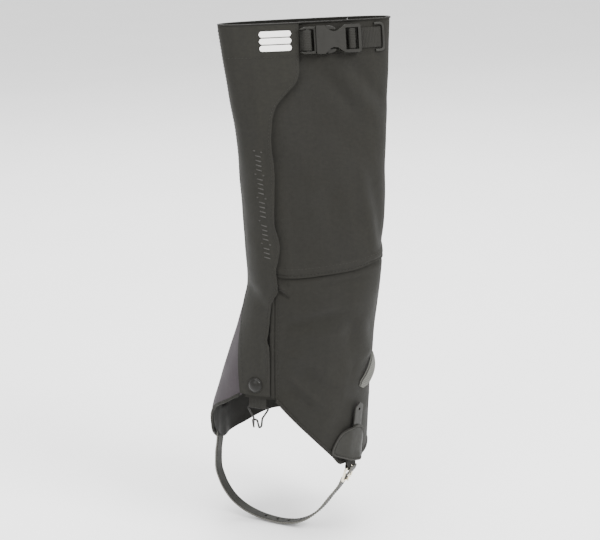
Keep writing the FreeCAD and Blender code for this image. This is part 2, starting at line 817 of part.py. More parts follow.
def build_strap_buckle():
    """Nickel prong buckle: a four-sided wire frame with its prong on the chape's bar."""
    _, _, toe, _ = strap_frame()
    bar, rise, outward = buckle_axes()
    wire = size("frame_wire")
    half = (size("frame_inside") + wire) / 2
    far = bar - rise * size("frame_length")
    ring = [
        bar + toe * 1.4, bar + toe * half, far + toe * half, far - toe * half,
        bar - toe * half, bar - toe * 1.4,
    ]
    frame = wire_rod(ring, wire, 2.6)
    pin = Part.makeCylinder(wire / 2 - 0.3, 2.8, bar - toe * 1.4, toe)
    add_shape("strap_buckle", frame.fuse(pin).removeSplitter())

    eye = Part.makeTorus(wire / 2 + 0.75, size("prong_wire") / 2 - 0.1, bar, toe)
    start = bar - rise * (wire / 2 + 0.9)
    tip = far + outward * (wire / 2 + size("prong_wire") / 2 + 0.15) - rise * 1.2
    rod = wire_rod([start, start * 0.4 + tip * 0.6 + outward * 0.2, tip], size("prong_wire"), 30)
    add_shape("buckle_prong", eye.fuse(rod).removeSplitter())


def band_solid(stations, width, thick):
    """Flat band lofted through (centre, across, outward) stations that may twist."""
    corners = ((1, 1), (-1, 1), (-1, -1), (1, -1), (1, 1))
    sections = []
    for spot, across, out in stations:
        spots = [spot + across * (width / 2 * a) + out * (thick / 2 * b) for a, b in corners]
        sections.append(Part.makePolygon(spots))
    return Part.makeLoft(sections, True, True)


def build_chape():
    """Tab folded round the pivot bar, with both of its legs running up under the shield."""
    _, inward, toe, _ = strap_frame()
    bar, rise, outward = buckle_axes()
    thick = size("chape_thick")
    radius = size("frame_wire") / 2 + 0.25 + thick / 2

    def leg(*places):
        rows = []
        for angle, height, lift in places:
            across = sleeve_point(angle - 1, height) - sleeve_point(angle + 1, height)
            out = sleeve_point(angle, height, 1) - sleeve_point(angle, height)
            rows.append((sleeve_point(angle, height, lift), across.normalize(), out.normalize()))
        return rows

    behind = leg((40, -430, 1.65), (39.5, -438, 1.65), (39, -447, 1.65), (38.4, -453.5, 1.75))
    front = leg((38.4, -453.5, 3.9), (39, -447, 2.75), (39.5, -438, 2.75), (40, -430, 2.75))
    bend = []
    for turn in range(180, 361, 20):
        out = inward * math.cos(math.radians(turn)) + Vector(0, 0, math.sin(math.radians(turn)))
        bend.append((bar + out * radius, toe, out))
    stations = [(spot, across, out * -1) for spot, across, out in behind] + bend + front
    band = band_solid(stations, size("chape_width"), thick)
    slot = Part.makeBox(3.2, 12, 7)
    turn = Rotation(toe, outward, rise, "ZXY")
    slot.Placement = Placement(bar - rise * 4 - outward * 6 - toe * 1.6, turn)
    add_shape("buckle_chape", band.cut(slot))


def surface_band(label, places, width, lift, thick, rows=12):
    """Band that lies along the sleeve through (height, angle) places."""
    left, right = [], []
    for height, angle in places:
        step = on_section(angle + 1, height) - on_section(angle - 1, height)
        spread = width / step.Length
        left.append((height, angle - spread))
        right.append((height, angle + spread))
    return add_panel(label, box_sides(down(left), down(right)), lift + thick, lift, 4, rows)


def build_medial_trim():
    """The strap's tail, the rounded shield over it, and the elastic keeper above."""
    tail = [(TAIL_TIP, 44), (-420, 42.5), (-447, MEDIAL_ANGLE + 1.5)]
    surface_band("strap_tail", tail, size("strap_width") - 0.5, 3.4, size("strap_thick"))

    left = down([(-413.5, 39), (-417, 29), (-425, 24.5), (-438, 21.8)])
    right = down([(-413.5, 45), (-417.3, 49.3), (-437.5, 57.2), (-453, 55.5)])
    bottom = around([left(1), (31, -446), (42.8, -451.5), right(1)])
    sides = (left, right, straight_around(left(0), right(0)), bottom)

    def crown(angle, height):
        """Rises over the strap's tail and comes down to the fabric at both sides."""
        middle = smooth_value(tail, height)
        step = on_section(middle + 1, height) - on_section(middle - 1, height)
        away = abs(angle - middle) * step.Length / 2
        return 1.25 + 4.9 * (1 - smooth_step((away - 8.5) / 12))

    outer = lambda angle, height: crown(angle, height) + 1.1
    add_panel("shield_patch", sides, outer, crown, 24, 14)

    start, end, across = (48, -374.5), (68, -346), (4, -3.2)
    high = around([(angle - across[0], height - across[1]) for angle, height in (start, end)])
    low = around([(angle + across[0], height + across[1]) for angle, height in (start, end)])
    sides = (lambda t: mix(high(0), low(0), t), lambda t: mix(high(1), low(1), t), high, low)

    def bow(angle, height):
        run = ((angle - start[0]) / (end[0] - start[0]) + (height - start[1]) / (end[1] - start[1])) / 2
        return 0.15 + 4.2 * math.sin(math.pi * run) ** 2

    add_panel("strap_keeper", sides, lambda angle, height: bow(angle, height) + 1.3, bow, 16, 3)


# ---------------------------------------------------------------- build, test and export

NODES = (
    "medial_upper_panel", "medial_lower_panel", "lateral_panel", "front_strip", "flap_margin",
    "underlap", "edge_binding", "hem_binding_medial", "hem_binding_lateral", "rim_binding",
    "cuff_facing", "back_seam_tape", "storm_flap", "hook_tape_upper", "hook_tape_lower",
    "loop_tape_upper", "loop_tape_lower", "snap_cap", "snap_socket", "snap_stud", "snap_post",
    "buckle_male", "buckle_female", "release_arm_upper", "release_arm_lower", "webbing_wrap",
    "buckle_webbing", "cuff_webbing", "webbing_exit", "reflective_bars", "lace_hook_tab",
    "lace_hook", "instep_strap", "strap_anchor", "strap_tail", "strap_buckle", "buckle_prong",
    "buckle_chape", "shield_patch", "strap_keeper",
)


def report_joints():
    """Prints the joint axes and pivots, in metres, for the record."""
    top = sleeve_point(front_angle(HINGE_TOP_X, FLAP_TOP), FLAP_TOP, size("strip_outside"))
    bottom = sleeve_point(front_angle(HINGE_BOTTOM_X, FLAP_BOTTOM), FLAP_BOTTOM, size("strip_outside"))
    here = buckle_seat()
    tab = seat(front_angle(*HOOK_PLACE), HOOK_PLACE[1], 0)
    lateral, _, toe, _ = strap_frame()
    bar, _, _ = buckle_axes()
    pivot = Vector(size("arm_pivot_along"), 0, size("arm_pivot_up"))
    low_pivot = Vector(pivot.x, 0, -pivot.z)
    rows = {
        "flap": (top, (bottom - top).normalize()),
        "release": (here.Base, here.Rotation.multVec(Vector(1, 0, 0))),
        "arm_upper": (here.multVec(pivot), here.Rotation.multVec(Vector(0, 1, 0))),
        "arm_lower": (here.multVec(low_pivot), here.Rotation.multVec(Vector(0, -1, 0))),
        "hook": (tab.multVec(hook_bar()), tab.Rotation.multVec(Vector(1, 0, 0))),
        "strap": (bar, (bar - lateral).normalize()),
        "prong": (bar, toe),
    }
    for name, (spot, axis) in rows.items():
        print(name, [round(v / 1000, 6) for v in spot], [round(v, 6) for v in axis])


def export():
    doc.recompute()
    broken = [o.Name for o in doc.Objects if {"Invalid", "Error"} & set(o.State)]
    if broken:
        raise RuntimeError(f"failed objects: {broken}")
    os.makedirs("parts", exist_ok=True)
    for name in NODES:
        shape = doc.getObjectsByLabel(name)[0].Shape
        if shape.isNull() or not shape.isValid() or shape.Volume <= 0:
            raise RuntimeError(f"{name} has no sound shape")
        shape.exportStep(f"parts/{name}.step")
        print(f"{name}: {shape.Volume:.0f} mm3, {len(shape.Solids)} solid")


fill_sheet()
build_upper_panels()
build_lower_panels()
build_lateral_panel()
build_bindings()
build_flap()
build_closure_tapes()
build_snap()
build_buckle()
build_webbing()
build_reflective_bars()
build_lace_hook()
build_strap()
build_strap_buckle()
build_chape()
build_medial_trim()
report_joints()
export()
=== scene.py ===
import json
import math

import bmesh
import bpy
import numpy as np
from mathutils import Matrix, Vector


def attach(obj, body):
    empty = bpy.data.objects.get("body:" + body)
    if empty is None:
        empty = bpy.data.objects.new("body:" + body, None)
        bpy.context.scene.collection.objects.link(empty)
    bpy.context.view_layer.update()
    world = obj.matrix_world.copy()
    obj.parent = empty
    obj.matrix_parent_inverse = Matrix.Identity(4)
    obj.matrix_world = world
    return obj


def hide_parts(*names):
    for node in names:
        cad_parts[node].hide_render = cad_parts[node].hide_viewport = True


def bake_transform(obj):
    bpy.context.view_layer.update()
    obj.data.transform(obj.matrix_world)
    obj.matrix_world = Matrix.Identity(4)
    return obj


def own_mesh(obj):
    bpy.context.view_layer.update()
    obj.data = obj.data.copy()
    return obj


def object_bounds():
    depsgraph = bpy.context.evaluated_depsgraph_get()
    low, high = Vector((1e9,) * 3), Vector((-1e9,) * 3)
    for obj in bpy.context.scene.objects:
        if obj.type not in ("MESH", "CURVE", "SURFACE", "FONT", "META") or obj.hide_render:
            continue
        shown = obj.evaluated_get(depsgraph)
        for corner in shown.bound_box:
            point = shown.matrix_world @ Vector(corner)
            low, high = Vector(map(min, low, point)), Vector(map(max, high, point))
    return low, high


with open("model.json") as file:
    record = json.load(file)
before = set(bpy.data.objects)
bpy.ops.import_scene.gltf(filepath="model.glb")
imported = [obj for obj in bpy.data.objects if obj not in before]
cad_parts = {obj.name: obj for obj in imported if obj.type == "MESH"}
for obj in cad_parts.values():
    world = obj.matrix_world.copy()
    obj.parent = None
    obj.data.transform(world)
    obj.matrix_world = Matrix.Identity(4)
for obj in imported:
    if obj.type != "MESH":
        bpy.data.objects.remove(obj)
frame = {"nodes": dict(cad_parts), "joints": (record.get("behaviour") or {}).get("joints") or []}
cad_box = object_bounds()
joints = {joint["name"]: joint for joint in frame["joints"]}
MM = 0.001
UP = Vector((0, 0, 1))

# ---- the sleeve, as in the CAD source
# Angles go round the sleeve from its front, in degrees, and are positive towards the inner ankle.
# Heights go up from the rim. Sizes are in millimetres, and lifts are distances outside the sleeve.

# Sections down the leg: height, left, right, half depth, middle, squareness.
STATIONS = np.array([
    (0, -86, 86, 17, 0, 2.8), (-60, -79, 82.5, 25, -1, 2.8), (-130, -71, 78, 34, -3, 2.8),
    (-200, -68, 74.5, 42, -5, 2.8), (-262, -66, 69, 50, -6, 2.7), (-290, -72, 66.5, 54, -2, 2.6),
    (-330, -84, 62.5, 61, 5, 2.4), (-370, -97, 60.5, 69, 12, 2.2), (-410, -109, 58.5, 75, 15.5, 2.1),
    (-470, -112, 55, 78, 16, 2.0),
])
# Edges down the front face: height and x.
FREE_EDGE = [
    (0, -10), (-46, -12.5), (-54, -15), (-66.5, -26), (-78.5, -36.5), (-92, -41), (-115, -43),
    (-141, -41.5), (-193, -43.5), (-216, -40), (-232, -42.5), (-241, -44.5), (-260, -43.5),
    (-275, -50), (-304, -54), (-314, -55.5), (-321, -54), (-372, -56.3),
]
HINGE = [(0, -60), (-272, -61), (-372, -79)]
GUARD_FRONT = [(-249, -46.6), (-272, -47), (-322, -49.1), (-377.5, -51)]
HIDDEN_EDGE = [(0, -56), (-60, -60), (-130, -61), (-200, -62), (-247.5, -60)]
# Lines down the sleeve: height and angle.
STRIP_SEAM = [(0, -100), (-272, -100), (-290, -92), (-315, -73.5), (-352, -59.4), (-372, -52.9)]
TAIL = [(-390, 44), (-420, 42.5), (-447, 39.5), (-459, 38.4)]
# Lines round the sleeve: angle and height.
ARCH_SEAM = [(-19, -249), (4, -247.5), (24, -245.5), (45, -241), (150, -232)]
MEDIAL_HEM = [
    (-22.7, -377.5), (-3.5, -403), (22.9, -442), (31, -453), (60, -453), (90, -450), (150, -436),
]
LATERAL_HEM = [
    (-210, -436), (-180, -436), (-150, -447), (-125, -452), (-112, -442), (-98, -419),
    (-85.5, -401), (-65.5, -386), (-52.9, -374),
]
BACK = 150
ANCHOR = (-120.0, -450.0)
CUFF_ROW = -31.0
BUCKLE_HEIGHT = -16.8
STRIP_TOP = 2.0
CLOTH = 1.1
FLAP_BEND = ("sleeve", "flap", (0, 0, -0.276), (0, 0, -0.340))


def curve(points, at):
    """Monotone cubic through (position, value) points, held at its end values."""
    p, v = np.array(sorted(map(tuple, points)), float).T
    at = np.clip(np.asarray(at, float), p[0], p[-1])
    steps = np.diff(v) / np.diff(p)
    slopes = np.zeros(len(p))
    slopes[0], slopes[-1] = steps[0], steps[-1]
    product = steps[:-1] * steps[1:]
    total = np.where(product > 0, steps[:-1] + steps[1:], 1)
    slopes[1:-1] = np.where(product > 0, 2 * product / total, 0)
    k = np.clip(np.searchsorted(p, at) - 1, 0, len(p) - 2)
    span = p[k + 1] - p[k]
    t = (at - p[k]) / span
    rise = t * t * (3 - 2 * t)
    value = v[k] * (1 - rise) + v[k + 1] * rise + span * t * (1 - t) ** 2 * slopes[k]
    return value - span * t * t * (1 - t) * slopes[k + 1]


def smooth(t):
    t = np.clip(t, 0, 1)
    return t * t * (3 - 2 * t)


def bump_at(distance, width):
    return np.exp(-(distance / width) ** 2)


def unit(vectors):
    return vectors / np.linalg.norm(vectors, axis=-1, keepdims=True)


def run_of(points):
    """Distance along a line of points."""
    steps = np.linalg.norm(np.diff(np.asarray(points), axis=0), axis=1)
    return np.concatenate([[0], np.cumsum(steps)])


def section_point(angle, height):
    angle, height = np.broadcast_arrays(np.asarray(angle, float), np.asarray(height, float))
    left, right, depth, middle, square = (curve(STATIONS[:, [0, k]], height) for k in range(1, 6))
    across, outward = np.sin(np.radians(angle)), np.cos(np.radians(angle))
    reach = (abs(across) ** square + abs(outward) ** square) ** (-1 / square)
    x = (left + right) / 2 + (right - left) / 2 * reach * across
    return np.stack([x, middle - depth * reach * outward, height], -1)


def x_at(angle, height):
    return section_point(angle, height)[..., 0]


def outward_at(angle, height):
    along = unit(section_point(angle + 0.5, height) - section_point(angle - 0.5, height))
    return np.stack([along[..., 1], -along[..., 0], 0 * along[..., 0]], -1)


def front_angle(x, height):
    """Angle of the front face's point at this x."""
    x, height = np.broadcast_arrays(np.asarray(x, float), np.asarray(height, float))
    low, high = np.full(x.shape, -90.0), np.full(x.shape, 90.0)
    for _ in range(40):
        middle = (low + high) / 2
        below = x_at(middle, height) < x
        low, high = np.where(below, middle, low), np.where(below, high, middle)
    return (low + high) / 2


def arc_table():
    """Distance round the sleeve from the front, on a grid of angles and heights."""
    angles, heights = np.arange(-240, 241, 2.0), np.arange(-470, 1, 10.0)
    points = section_point(angles[None, :], heights[:, None])
    steps = np.linalg.norm(np.diff(points, axis=1), axis=-1)
    arcs = np.concatenate([np.zeros((len(heights), 1)), np.cumsum(steps, 1)], 1)
    return angles, heights, arcs - arcs[:, [120]]


ANGLES, HEIGHTS, ARCS = arc_table()


def arc_at(angle, height):
    i = np.clip((np.asarray(angle) + 240) / 2, 0, len(ANGLES) - 1.001)
    j = np.clip((np.asarray(height) + 470) / 10, 0, len(HEIGHTS) - 1.001)
    a, b = i.astype(int), j.astype(int)
    u, v = i - a, j - b
    low = ARCS[b, a] * (1 - u) + ARCS[b, a + 1] * u
    return low * (1 - v) + (ARCS[b + 1, a] * (1 - u) + ARCS[b + 1, a + 1] * u) * v


def crease(x, z, start, end, width, height):
    """A soft ridge (or a fold, if height is negative) along a line on the front."""
    (ax, az), (bx, bz) = start, end
    length = math.hypot(bx - ax, bz - az)
    ux, uz = (bx - ax) / length, (bz - az) / length
    along = ((x - ax) * ux + (z - az) * uz) / length
    away = (x - ax) * uz - (z - az) * ux
    ends = smooth((along + 0.12) / 0.3) * smooth((1.12 - along) / 0.3)
    return height * bump_at(away, width) * ends


# Creases on the front: start and end as x and height, width, share of CREASE_DEPTH.
CREASE_DEPTH = 2.4
CREASES = [
    ((-44, -258), (-36, -263), 1.6, 0.8), ((-44, -262), (-34, -270), 1.9, -0.8),
    ((-42, -253), (-34, -256), 2.0, -0.4), ((-36, -288), (14, -279), 5, 0.9),
    ((-38, -300), (30, -288), 6, -0.8), ((-36, -312), (24, -306), 7, 0.7),
    ((-40, -350), (-4, -384), 3.5, 0.9), ((-30, -344), (16, -376), 6, -0.8),
    ((-38, -366), (-14, -386), 3, -0.6), ((-36, -328), (-6, -340), 5, 0.6),
    ((-8, -262), (46, -253), 3, -0.6), ((28, -44), (70, -104), 9, 1.0),
    ((8, -40), (40, -86), 7, -0.8), ((44, -42), (76, -84), 6, -0.7),
    ((-30, -60), (-8, -40), 5, 0.6), ((58, -150), (70, -236), 7, -0.9),
    ((44, -140), (58, -232), 7, 0.7), ((20, -120), (34, -230), 13, 0.8),
    ((-30, -120), (-22, -238), 10, -0.7), ((-6, -130), (4, -236), 10, 0.6),
    ((40, -296), (52, -348), 7, 0.8), ((26, -290), (34, -356), 7, -0.6),
    ((-4, -300), (8, -420), 12, 0.6), ((-70, -40), (-62, -120), 8, -0.7),
    ((-52, -70), (-54, -240), 10, 0.6), ((-78, -300), (-90, -370), 7, 0.5),
    ((-68, -262), (-56, -286), 6, -0.6),
]
# Ovals under the hardware where the cloth lies flat: middle x and height, half width and height.
KEEP_FLAT = [
    (-30, -18, 46, 16), (50, -19, 40, 18), (-69, -361, 13, 13), (28, -430, 32, 34), (50, -368, 18, 22),
]


def cloth(angle, height):
    """How far the real, slightly creased cloth stands off the plain sleeve."""
    s = arc_at(angle, height)
    wave = 0.45 * np.sin(s / 17 + 0.9 * np.sin(height / 61 + 0.5) + 1.3)
    wave = wave * np.sin(height / 83 + s / 140 + 0.4)
    wave += 0.28 * np.sin(height / 15.5 + 1.4 * np.sin(s / 38 + 2.0)) * np.sin(s / 52 + height / 47)
    wave += 0.16 * np.sin(s / 6.3 + height / 19) * np.sin(height / 9.7 - s / 23 + 1.1)
    loose = smooth((-20 - height) / 60) * 0.7 + 0.3
    wave = wave * loose * 1.5
    x = x_at(angle, height)
    front = smooth((np.cos(np.radians(angle)) - 0.05) / 0.3)
    for start, end, width, rise in CREASES:
        wave = wave + front * crease(x, height, start, end, width, CREASE_DEPTH * rise)
    for cx, cz, rx, rz in KEEP_FLAT:
        away = np.sqrt(((x - cx) / rx) ** 2 + ((height - cz) / rz) ** 2)
        wave = wave * (1 - front * (1 - smooth((away - 0.8) / 0.5)))
    return wave


def off_sleeve(angle, height, lift):
    """Points this far outside the plain sleeve, in metres."""
    angle, height, lift = np.broadcast_arrays(*(np.asarray(v, float) for v in (angle, height, lift)))
    return (section_point(angle, height) + outward_at(angle, height) * lift[..., None]) * MM


def skin(angle, height, lift=0.0):
    """Points this far outside the creased cloth, in metres."""
    return off_sleeve(angle, height, np.asarray(lift, float) + cloth(angle, height))


def seat(angle, height, lift):
    """Local frame on the plain sleeve: +X round the leg, +Z up the cloth, -Y outwards."""
    across = Vector(section_point(angle + 1, height) - section_point(angle - 1, height)).normalized()
    up = Vector(section_point(angle, height + 2) - section_point(angle, height - 2))
    inward = up.cross(across).normalized()
    matrix = Matrix((across, inward, across.cross(inward))).transposed().to_4x4()
    matrix.translation = (Vector(section_point(angle, height)) - inward * lift) * MM
    return matrix


# ---- places: (angle, height) on the sleeve


def level(start, end, height, count):
    """Places round the sleeve at one height."""
    return np.stack([np.linspace(start, end, count), np.full(count, float(height))], -1)


def down(points, count, top=None, bottom=None):
    """Places down a line of heights and angles."""
    top = points[0][0] if top is None else top
    bottom = points[-1][0] if bottom is None else bottom
    heights = np.linspace(top, bottom, count)
    return np.stack([curve(points, heights), heights], -1)


def down_front(points, count, top=None, bottom=None, shift=0.0):
    """Places down a line of heights and x on the front face."""
    places = down(points, count, top, bottom)
    places[:, 0] = front_angle(places[:, 0] + shift, places[:, 1])
    return places


def around(points, start, end, count, shift=0.0):
    """Places along a line of angles and heights."""
    angles = np.linspace(start, end, count)
    return np.stack([angles, curve(points, angles) + shift], -1)


def ruled(first, last, count):
    """Grid of places between two lines of them; its rows run from one line to the other."""
    t = np.linspace(0, 1, count)[None, :, None]
    return first[:, None, :] * (1 - t) + last[:, None, :] * t


def rows_between(first, last, count):
    return ruled(first, last, count).transpose(1, 0, 2)


def coons(left, right, top, bottom):
    """Grid of places between four edges of them."""
    s = np.linspace(0, 1, len(top))[:, None, None]
    t = np.linspace(0, 1, len(left))[None, :, None]
    side = left[None] * (1 - s) + right[None] * s
    run = top[:, None] * (1 - t) + bottom[:, None] * t
    corners = (left[0] * (1 - s) + right[0] * s) * (1 - t) + (left[-1] * (1 - s) + right[-1] * s) * t
    return side + run - corners


def cloth_uv(places):
    return np.stack([arc_at(places[..., 0], places[..., 1]), places[..., 1]], -1) * MM


# ---- meshes


def new_object(mesh, *materials):
    """Scene object with smooth faces from a mesh."""
    mesh.polygons.foreach_set("use_smooth", [True] * len(mesh.polygons))
    for material in materials:
        mesh.materials.append(material)
    obj = bpy.data.objects.new(mesh.name, mesh)
    bpy.context.scene.collection.objects.link(obj)
    return obj


def add_mesh(name, points, faces, material, uvs=None):
    mesh = bpy.data.meshes.new(name)
    mesh.from_pydata([tuple(p) for p in points], [], [tuple(f) for f in faces])
    mesh.update()
    obj = new_object(mesh, *(material if isinstance(material, list) else [material]))
    if uvs is not None:
        layer = mesh.uv_layers.new(name="cloth")
        index = np.empty(len(mesh.loops), int)
        mesh.loops.foreach_get("vertex_index", index)
        layer.data.foreach_set("uv", np.asarray(uvs, np.float32).reshape(-1, 2)[index].ravel())
    return obj


def from_bmesh(work, name, material):
    mesh = bpy.data.meshes.new(name)
    work.to_mesh(mesh)
    work.free()
    return new_object(mesh, material)


def welded(node):
    """Editable copy of a CAD node's mesh, with its split faces joined."""
    work = bmesh.new()
    work.from_mesh(frame["nodes"][node].data)
    bmesh.ops.remove_doubles(work, verts=work.verts, dist=2e-6)
    return work


def recalculate(obj):
    """Turns every face outwards."""
    work = bmesh.new()
    work.from_mesh(obj.data)
    bmesh.ops.recalc_face_normals(work, faces=work.faces)
    work.to_mesh(obj.data)
    work.free()
    return obj


def grid_faces(count_i, count_j, wrap_i=False, wrap_j=False):
    """Quads of a grid whose point (i, j) is i * count_j + j, facing outwards."""
    i, j = np.meshgrid(np.arange(count_i - (not wrap_i)), np.arange(count_j - (not wrap_j)), indexing="ij")
    i, j = i.ravel(), j.ravel()
    ii, jj = (i + 1) % count_i, (j + 1) % count_j
    return np.stack([i * count_j + j, i * count_j + jj, ii * count_j + jj, ii * count_j + j], 1)


def tube_faces(count, around_it, capped=True):
    """Faces of a tube of closed rings, capped or joined end to end."""
    faces = grid_faces(count, around_it, wrap_i=not capped, wrap_j=True).tolist()
    if capped:
        last = (count - 1) * around_it
        faces += [list(range(around_it))[::-1], list(range(last, last + around_it))]
    return faces


def closed_sheet(outer, inner, keep=None):
    """Points, faces and rim edges of the sheet between two matching grids; keep chooses its cells."""
    cells = grid_faces(*outer.shape[:2])
    if keep is not None:
        cells = cells[keep.ravel()]
    edges = np.concatenate([cells[:, [k, (k + 1) % 4]] for k in range(4)]).tolist()
    known = {tuple(e) for e in edges}
    rim = np.array([e for e in edges if (e[1], e[0]) not in known])
    points = np.concatenate([outer.reshape(-1, 3), inner.reshape(-1, 3)])
    count = len(points) // 2
    walls = np.stack([rim[:, 1], rim[:, 0], rim[:, 0] + count, rim[:, 1] + count], 1)
    return points, np.concatenate([cells, cells[:, ::-1] + count, walls]), rim


def sheet_mesh(name, outer, inner, material, uvs, keep=None, lining=None):
    """Closed sheet with a sharp rim; lining is its inner face's material."""
    points, faces, rim = closed_sheet(outer, inner, keep)
    count = len(points) // 2
    used = np.unique(faces)
    renumber = np.full(len(points), -1)
    renumber[used] = np.arange(len(used))
    uv = np.concatenate([uvs.reshape(-1, 2)] * 2)[used]
    materials = (material if isinstance(material, list) else [material]) + ([lining] if lining else [])
    obj = add_mesh(name, points[used], renumber[faces].tolist(), materials, uv)
    if lining:
        slot = np.zeros(len(faces), int)
        cells = (len(faces) - len(rim)) // 2
        slot[cells:2 * cells] = 1
        obj.data.polygons.foreach_set("material_index", slot)
    on_rim = set(map(tuple, np.sort(renumber[np.concatenate([rim, rim + count])], 1).tolist()))
    sharp = obj.data.attributes.new("sharp_edge", "BOOLEAN", "EDGE")
    pairs = np.empty(len(obj.data.edges) * 2, int)
    obj.data.edges.foreach_get("vertices", pairs)
    pairs = np.sort(pairs.reshape(-1, 2), 1)
    sharp.data.foreach_set("value", [tuple(p) in on_rim for p in pairs.tolist()])
    return obj


def place(obj, body, node=None):
    """Rides the piece on its body, or with a pair of bodies bakes its transform where it stands, and hides the
    CAD nodes it stands for.
    """
    if isinstance(body, tuple):
        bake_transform(obj)
    else:
        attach(obj, body)
    if node:
        nodes = (node,) if isinstance(node, str) else node
        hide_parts(*nodes)
    return obj


def panel(name, places, outer, inner, look, body="sleeve", node=None, lining=None):
    """Cloth over a grid of places, between two lifts."""
    a, z = places[..., 0], places[..., 1]
    lining = LOOKS[lining] if lining else None
    obj = sheet_mesh(name, skin(a, z, outer), skin(a, z, inner), LOOKS[look], cloth_uv(places), lining=lining)
    return place(obj, body, node)


def tube_rings(path, section, across):
    """Rings of a closed section, (side, out) offsets, carried along a path of points."""
    path = np.asarray(path, float)
    tangent = unit(np.gradient(path, axis=0))
    side = np.broadcast_to(np.asarray(across, float), path.shape)
    side = unit(side - tangent * np.sum(side * tangent, 1, keepdims=True))
    out = np.cross(side, tangent)
    section = np.asarray(section, float)
    return path[:, None] + side[:, None] * section[None, :, :1] + out[:, None] * section[None, :, 1:]


def strap_mesh(name, path, across, width, thick, looks, closed=False, edge=None):
    """Flat band with rounded edges along a path; a list of looks gives its faces, and its third look paints a
    pale highlight on the rounded edges.
    """
    edge = edge or min(thick * 0.45, 0.0006)
    w, h = width / 2, thick / 2
    half = [(w - edge, h), (w - edge * 0.3, h - edge * 0.3), (w, h - edge)]
    quarter = half + [(x, -y) for x, y in reversed(half)]
    under = [(w * 0.5, -h), (0, -h), (-w * 0.5, -h)]
    inset = [(-w * 0.5, h), (0, h), (w * 0.5, h)]
    ring = quarter + under + [(-x, y) for x, y in reversed(quarter)] + inset
    rings = tube_rings(path, ring, across)
    m = len(ring)
    uv = np.stack(np.broadcast_arrays(np.array(ring)[None, :, 0], run_of(path)[:, None]), -1)
    materials = [LOOKS[look] for look in ([looks] if isinstance(looks, str) else looks)]
    obj = add_mesh(name, rings.reshape(-1, 3), tube_faces(len(rings), m, not closed), materials, uv)
    # The rounded edges take the third look, a pale colour painted on as their highlight.
    if len(materials) > 1:
        sides = [(ring[k][0], ring[(k + 1) % m][0]) for k in range(m)]
        on_edge = [a * b > 0 and min(abs(a), abs(b)) > w * 0.7 for a, b in sides]
        for k, face in enumerate(obj.data.polygons):
            face.material_index = 2 if on_edge[k % m] else 0
    return recalculate(obj)


def stitch_mesh(name, path, normals, length=0.0024, gap=0.0011):
    """A row of separate thread stitches lying along a path on the cloth."""
    path, normals = np.asarray(path, float), np.asarray(normals, float)
    run = run_of(path)
    radius, sides = 0.00028, 6
    shape = ((0.0, -0.9, 0.45), (0.2, 0.35, 0.9), (0.5, 0.6, 1), (0.8, 0.35, 0.9), (1.0, -0.9, 0.45))
    along_it, lift, swell = np.array(shape).T
    turns = np.linspace(0, 2 * math.pi, sides, endpoint=False)
    tube = tube_faces(len(shape), sides)
    points, faces = [], []
    for k in range(max(int(run[-1] / (length + gap)), 1)):
        stops = k * (length + gap) + gap / 2 + length * along_it
        spots, up = (np.stack([np.interp(stops, run, line[:, c]) for c in range(3)], 1)
                     for line in (path, normals))
        spots = spots + up * (radius * lift)[:, None]
        side = unit(np.cross(unit(spots[-1] - spots[0]), up[2]))
        faces += [[len(points) + v for v in face] for face in tube]
        for spot, size in zip(spots, radius * swell):
            points += [spot + side * (math.cos(a) * size) + up[2] * (math.sin(a) * size) for a in turns]
    return add_mesh(name, points, faces, LOOKS["thread"])


def stitch_on(name, places, lift, body="sleeve"):
    """Stitching along places on the cloth."""
    a, z = places[:, 0], places[:, 1]
    return place(stitch_mesh(name, skin(a, z, lift), outward_at(a, z)), body)


def lathe(name, profile, matrix, look, count=48):
    """Closed turned piece from (radius, height) points that start and end on the axis."""
    angles = np.linspace(0, 2 * math.pi, count, endpoint=False)
    inner = profile[1:-1]
    m = len(inner)
    points = [(r * math.cos(a), r * math.sin(a), h) for a in angles for r, h in inner]
    points += [(0, 0, profile[0][1]), (0, 0, profile[-1][1])]
    faces = grid_faces(count, m, wrap_i=True).tolist()
    for k in range(count):
        n = (k + 1) % count
        faces += [(count * m, k * m, n * m), (count * m + 1, n * m + m - 1, k * m + m - 1)]
    return recalculate(add_mesh(name, [matrix @ (Vector(p) * MM) for p in points], faces, LOOKS[look]))


def smooth_path(points, count):
    """Points along a smooth curve through control points."""
    points = np.array([tuple(p) for p in points])
    run = run_of(points)
    at = np.linspace(0, run[-1], count)
    return np.stack([curve(list(zip(run, points[:, k])), at) for k in range(3)], 1)


def punch(obj, holes, radius=0.0015, depth=0.006):
    """Cuts round holes right through a band, each at a point and along a direction."""
    for spot, through in holes:
        bpy.ops.mesh.primitive_cylinder_add(vertices=24, radius=radius, depth=depth, location=spot)
        cutter = bpy.context.active_object
        cutter.rotation_mode = "QUATERNION"
        cutter.rotation_quaternion = through.to_track_quat("Z", "Y")
        modifier = obj.modifiers.new("hole", "BOOLEAN")
        modifier.object = cutter
        modifier.solver = "EXACT"
        bpy.context.view_layer.objects.active = obj
        bpy.ops.object.modifier_apply(modifier=modifier.name)
        bpy.data.objects.remove(cutter)


# ---- materials


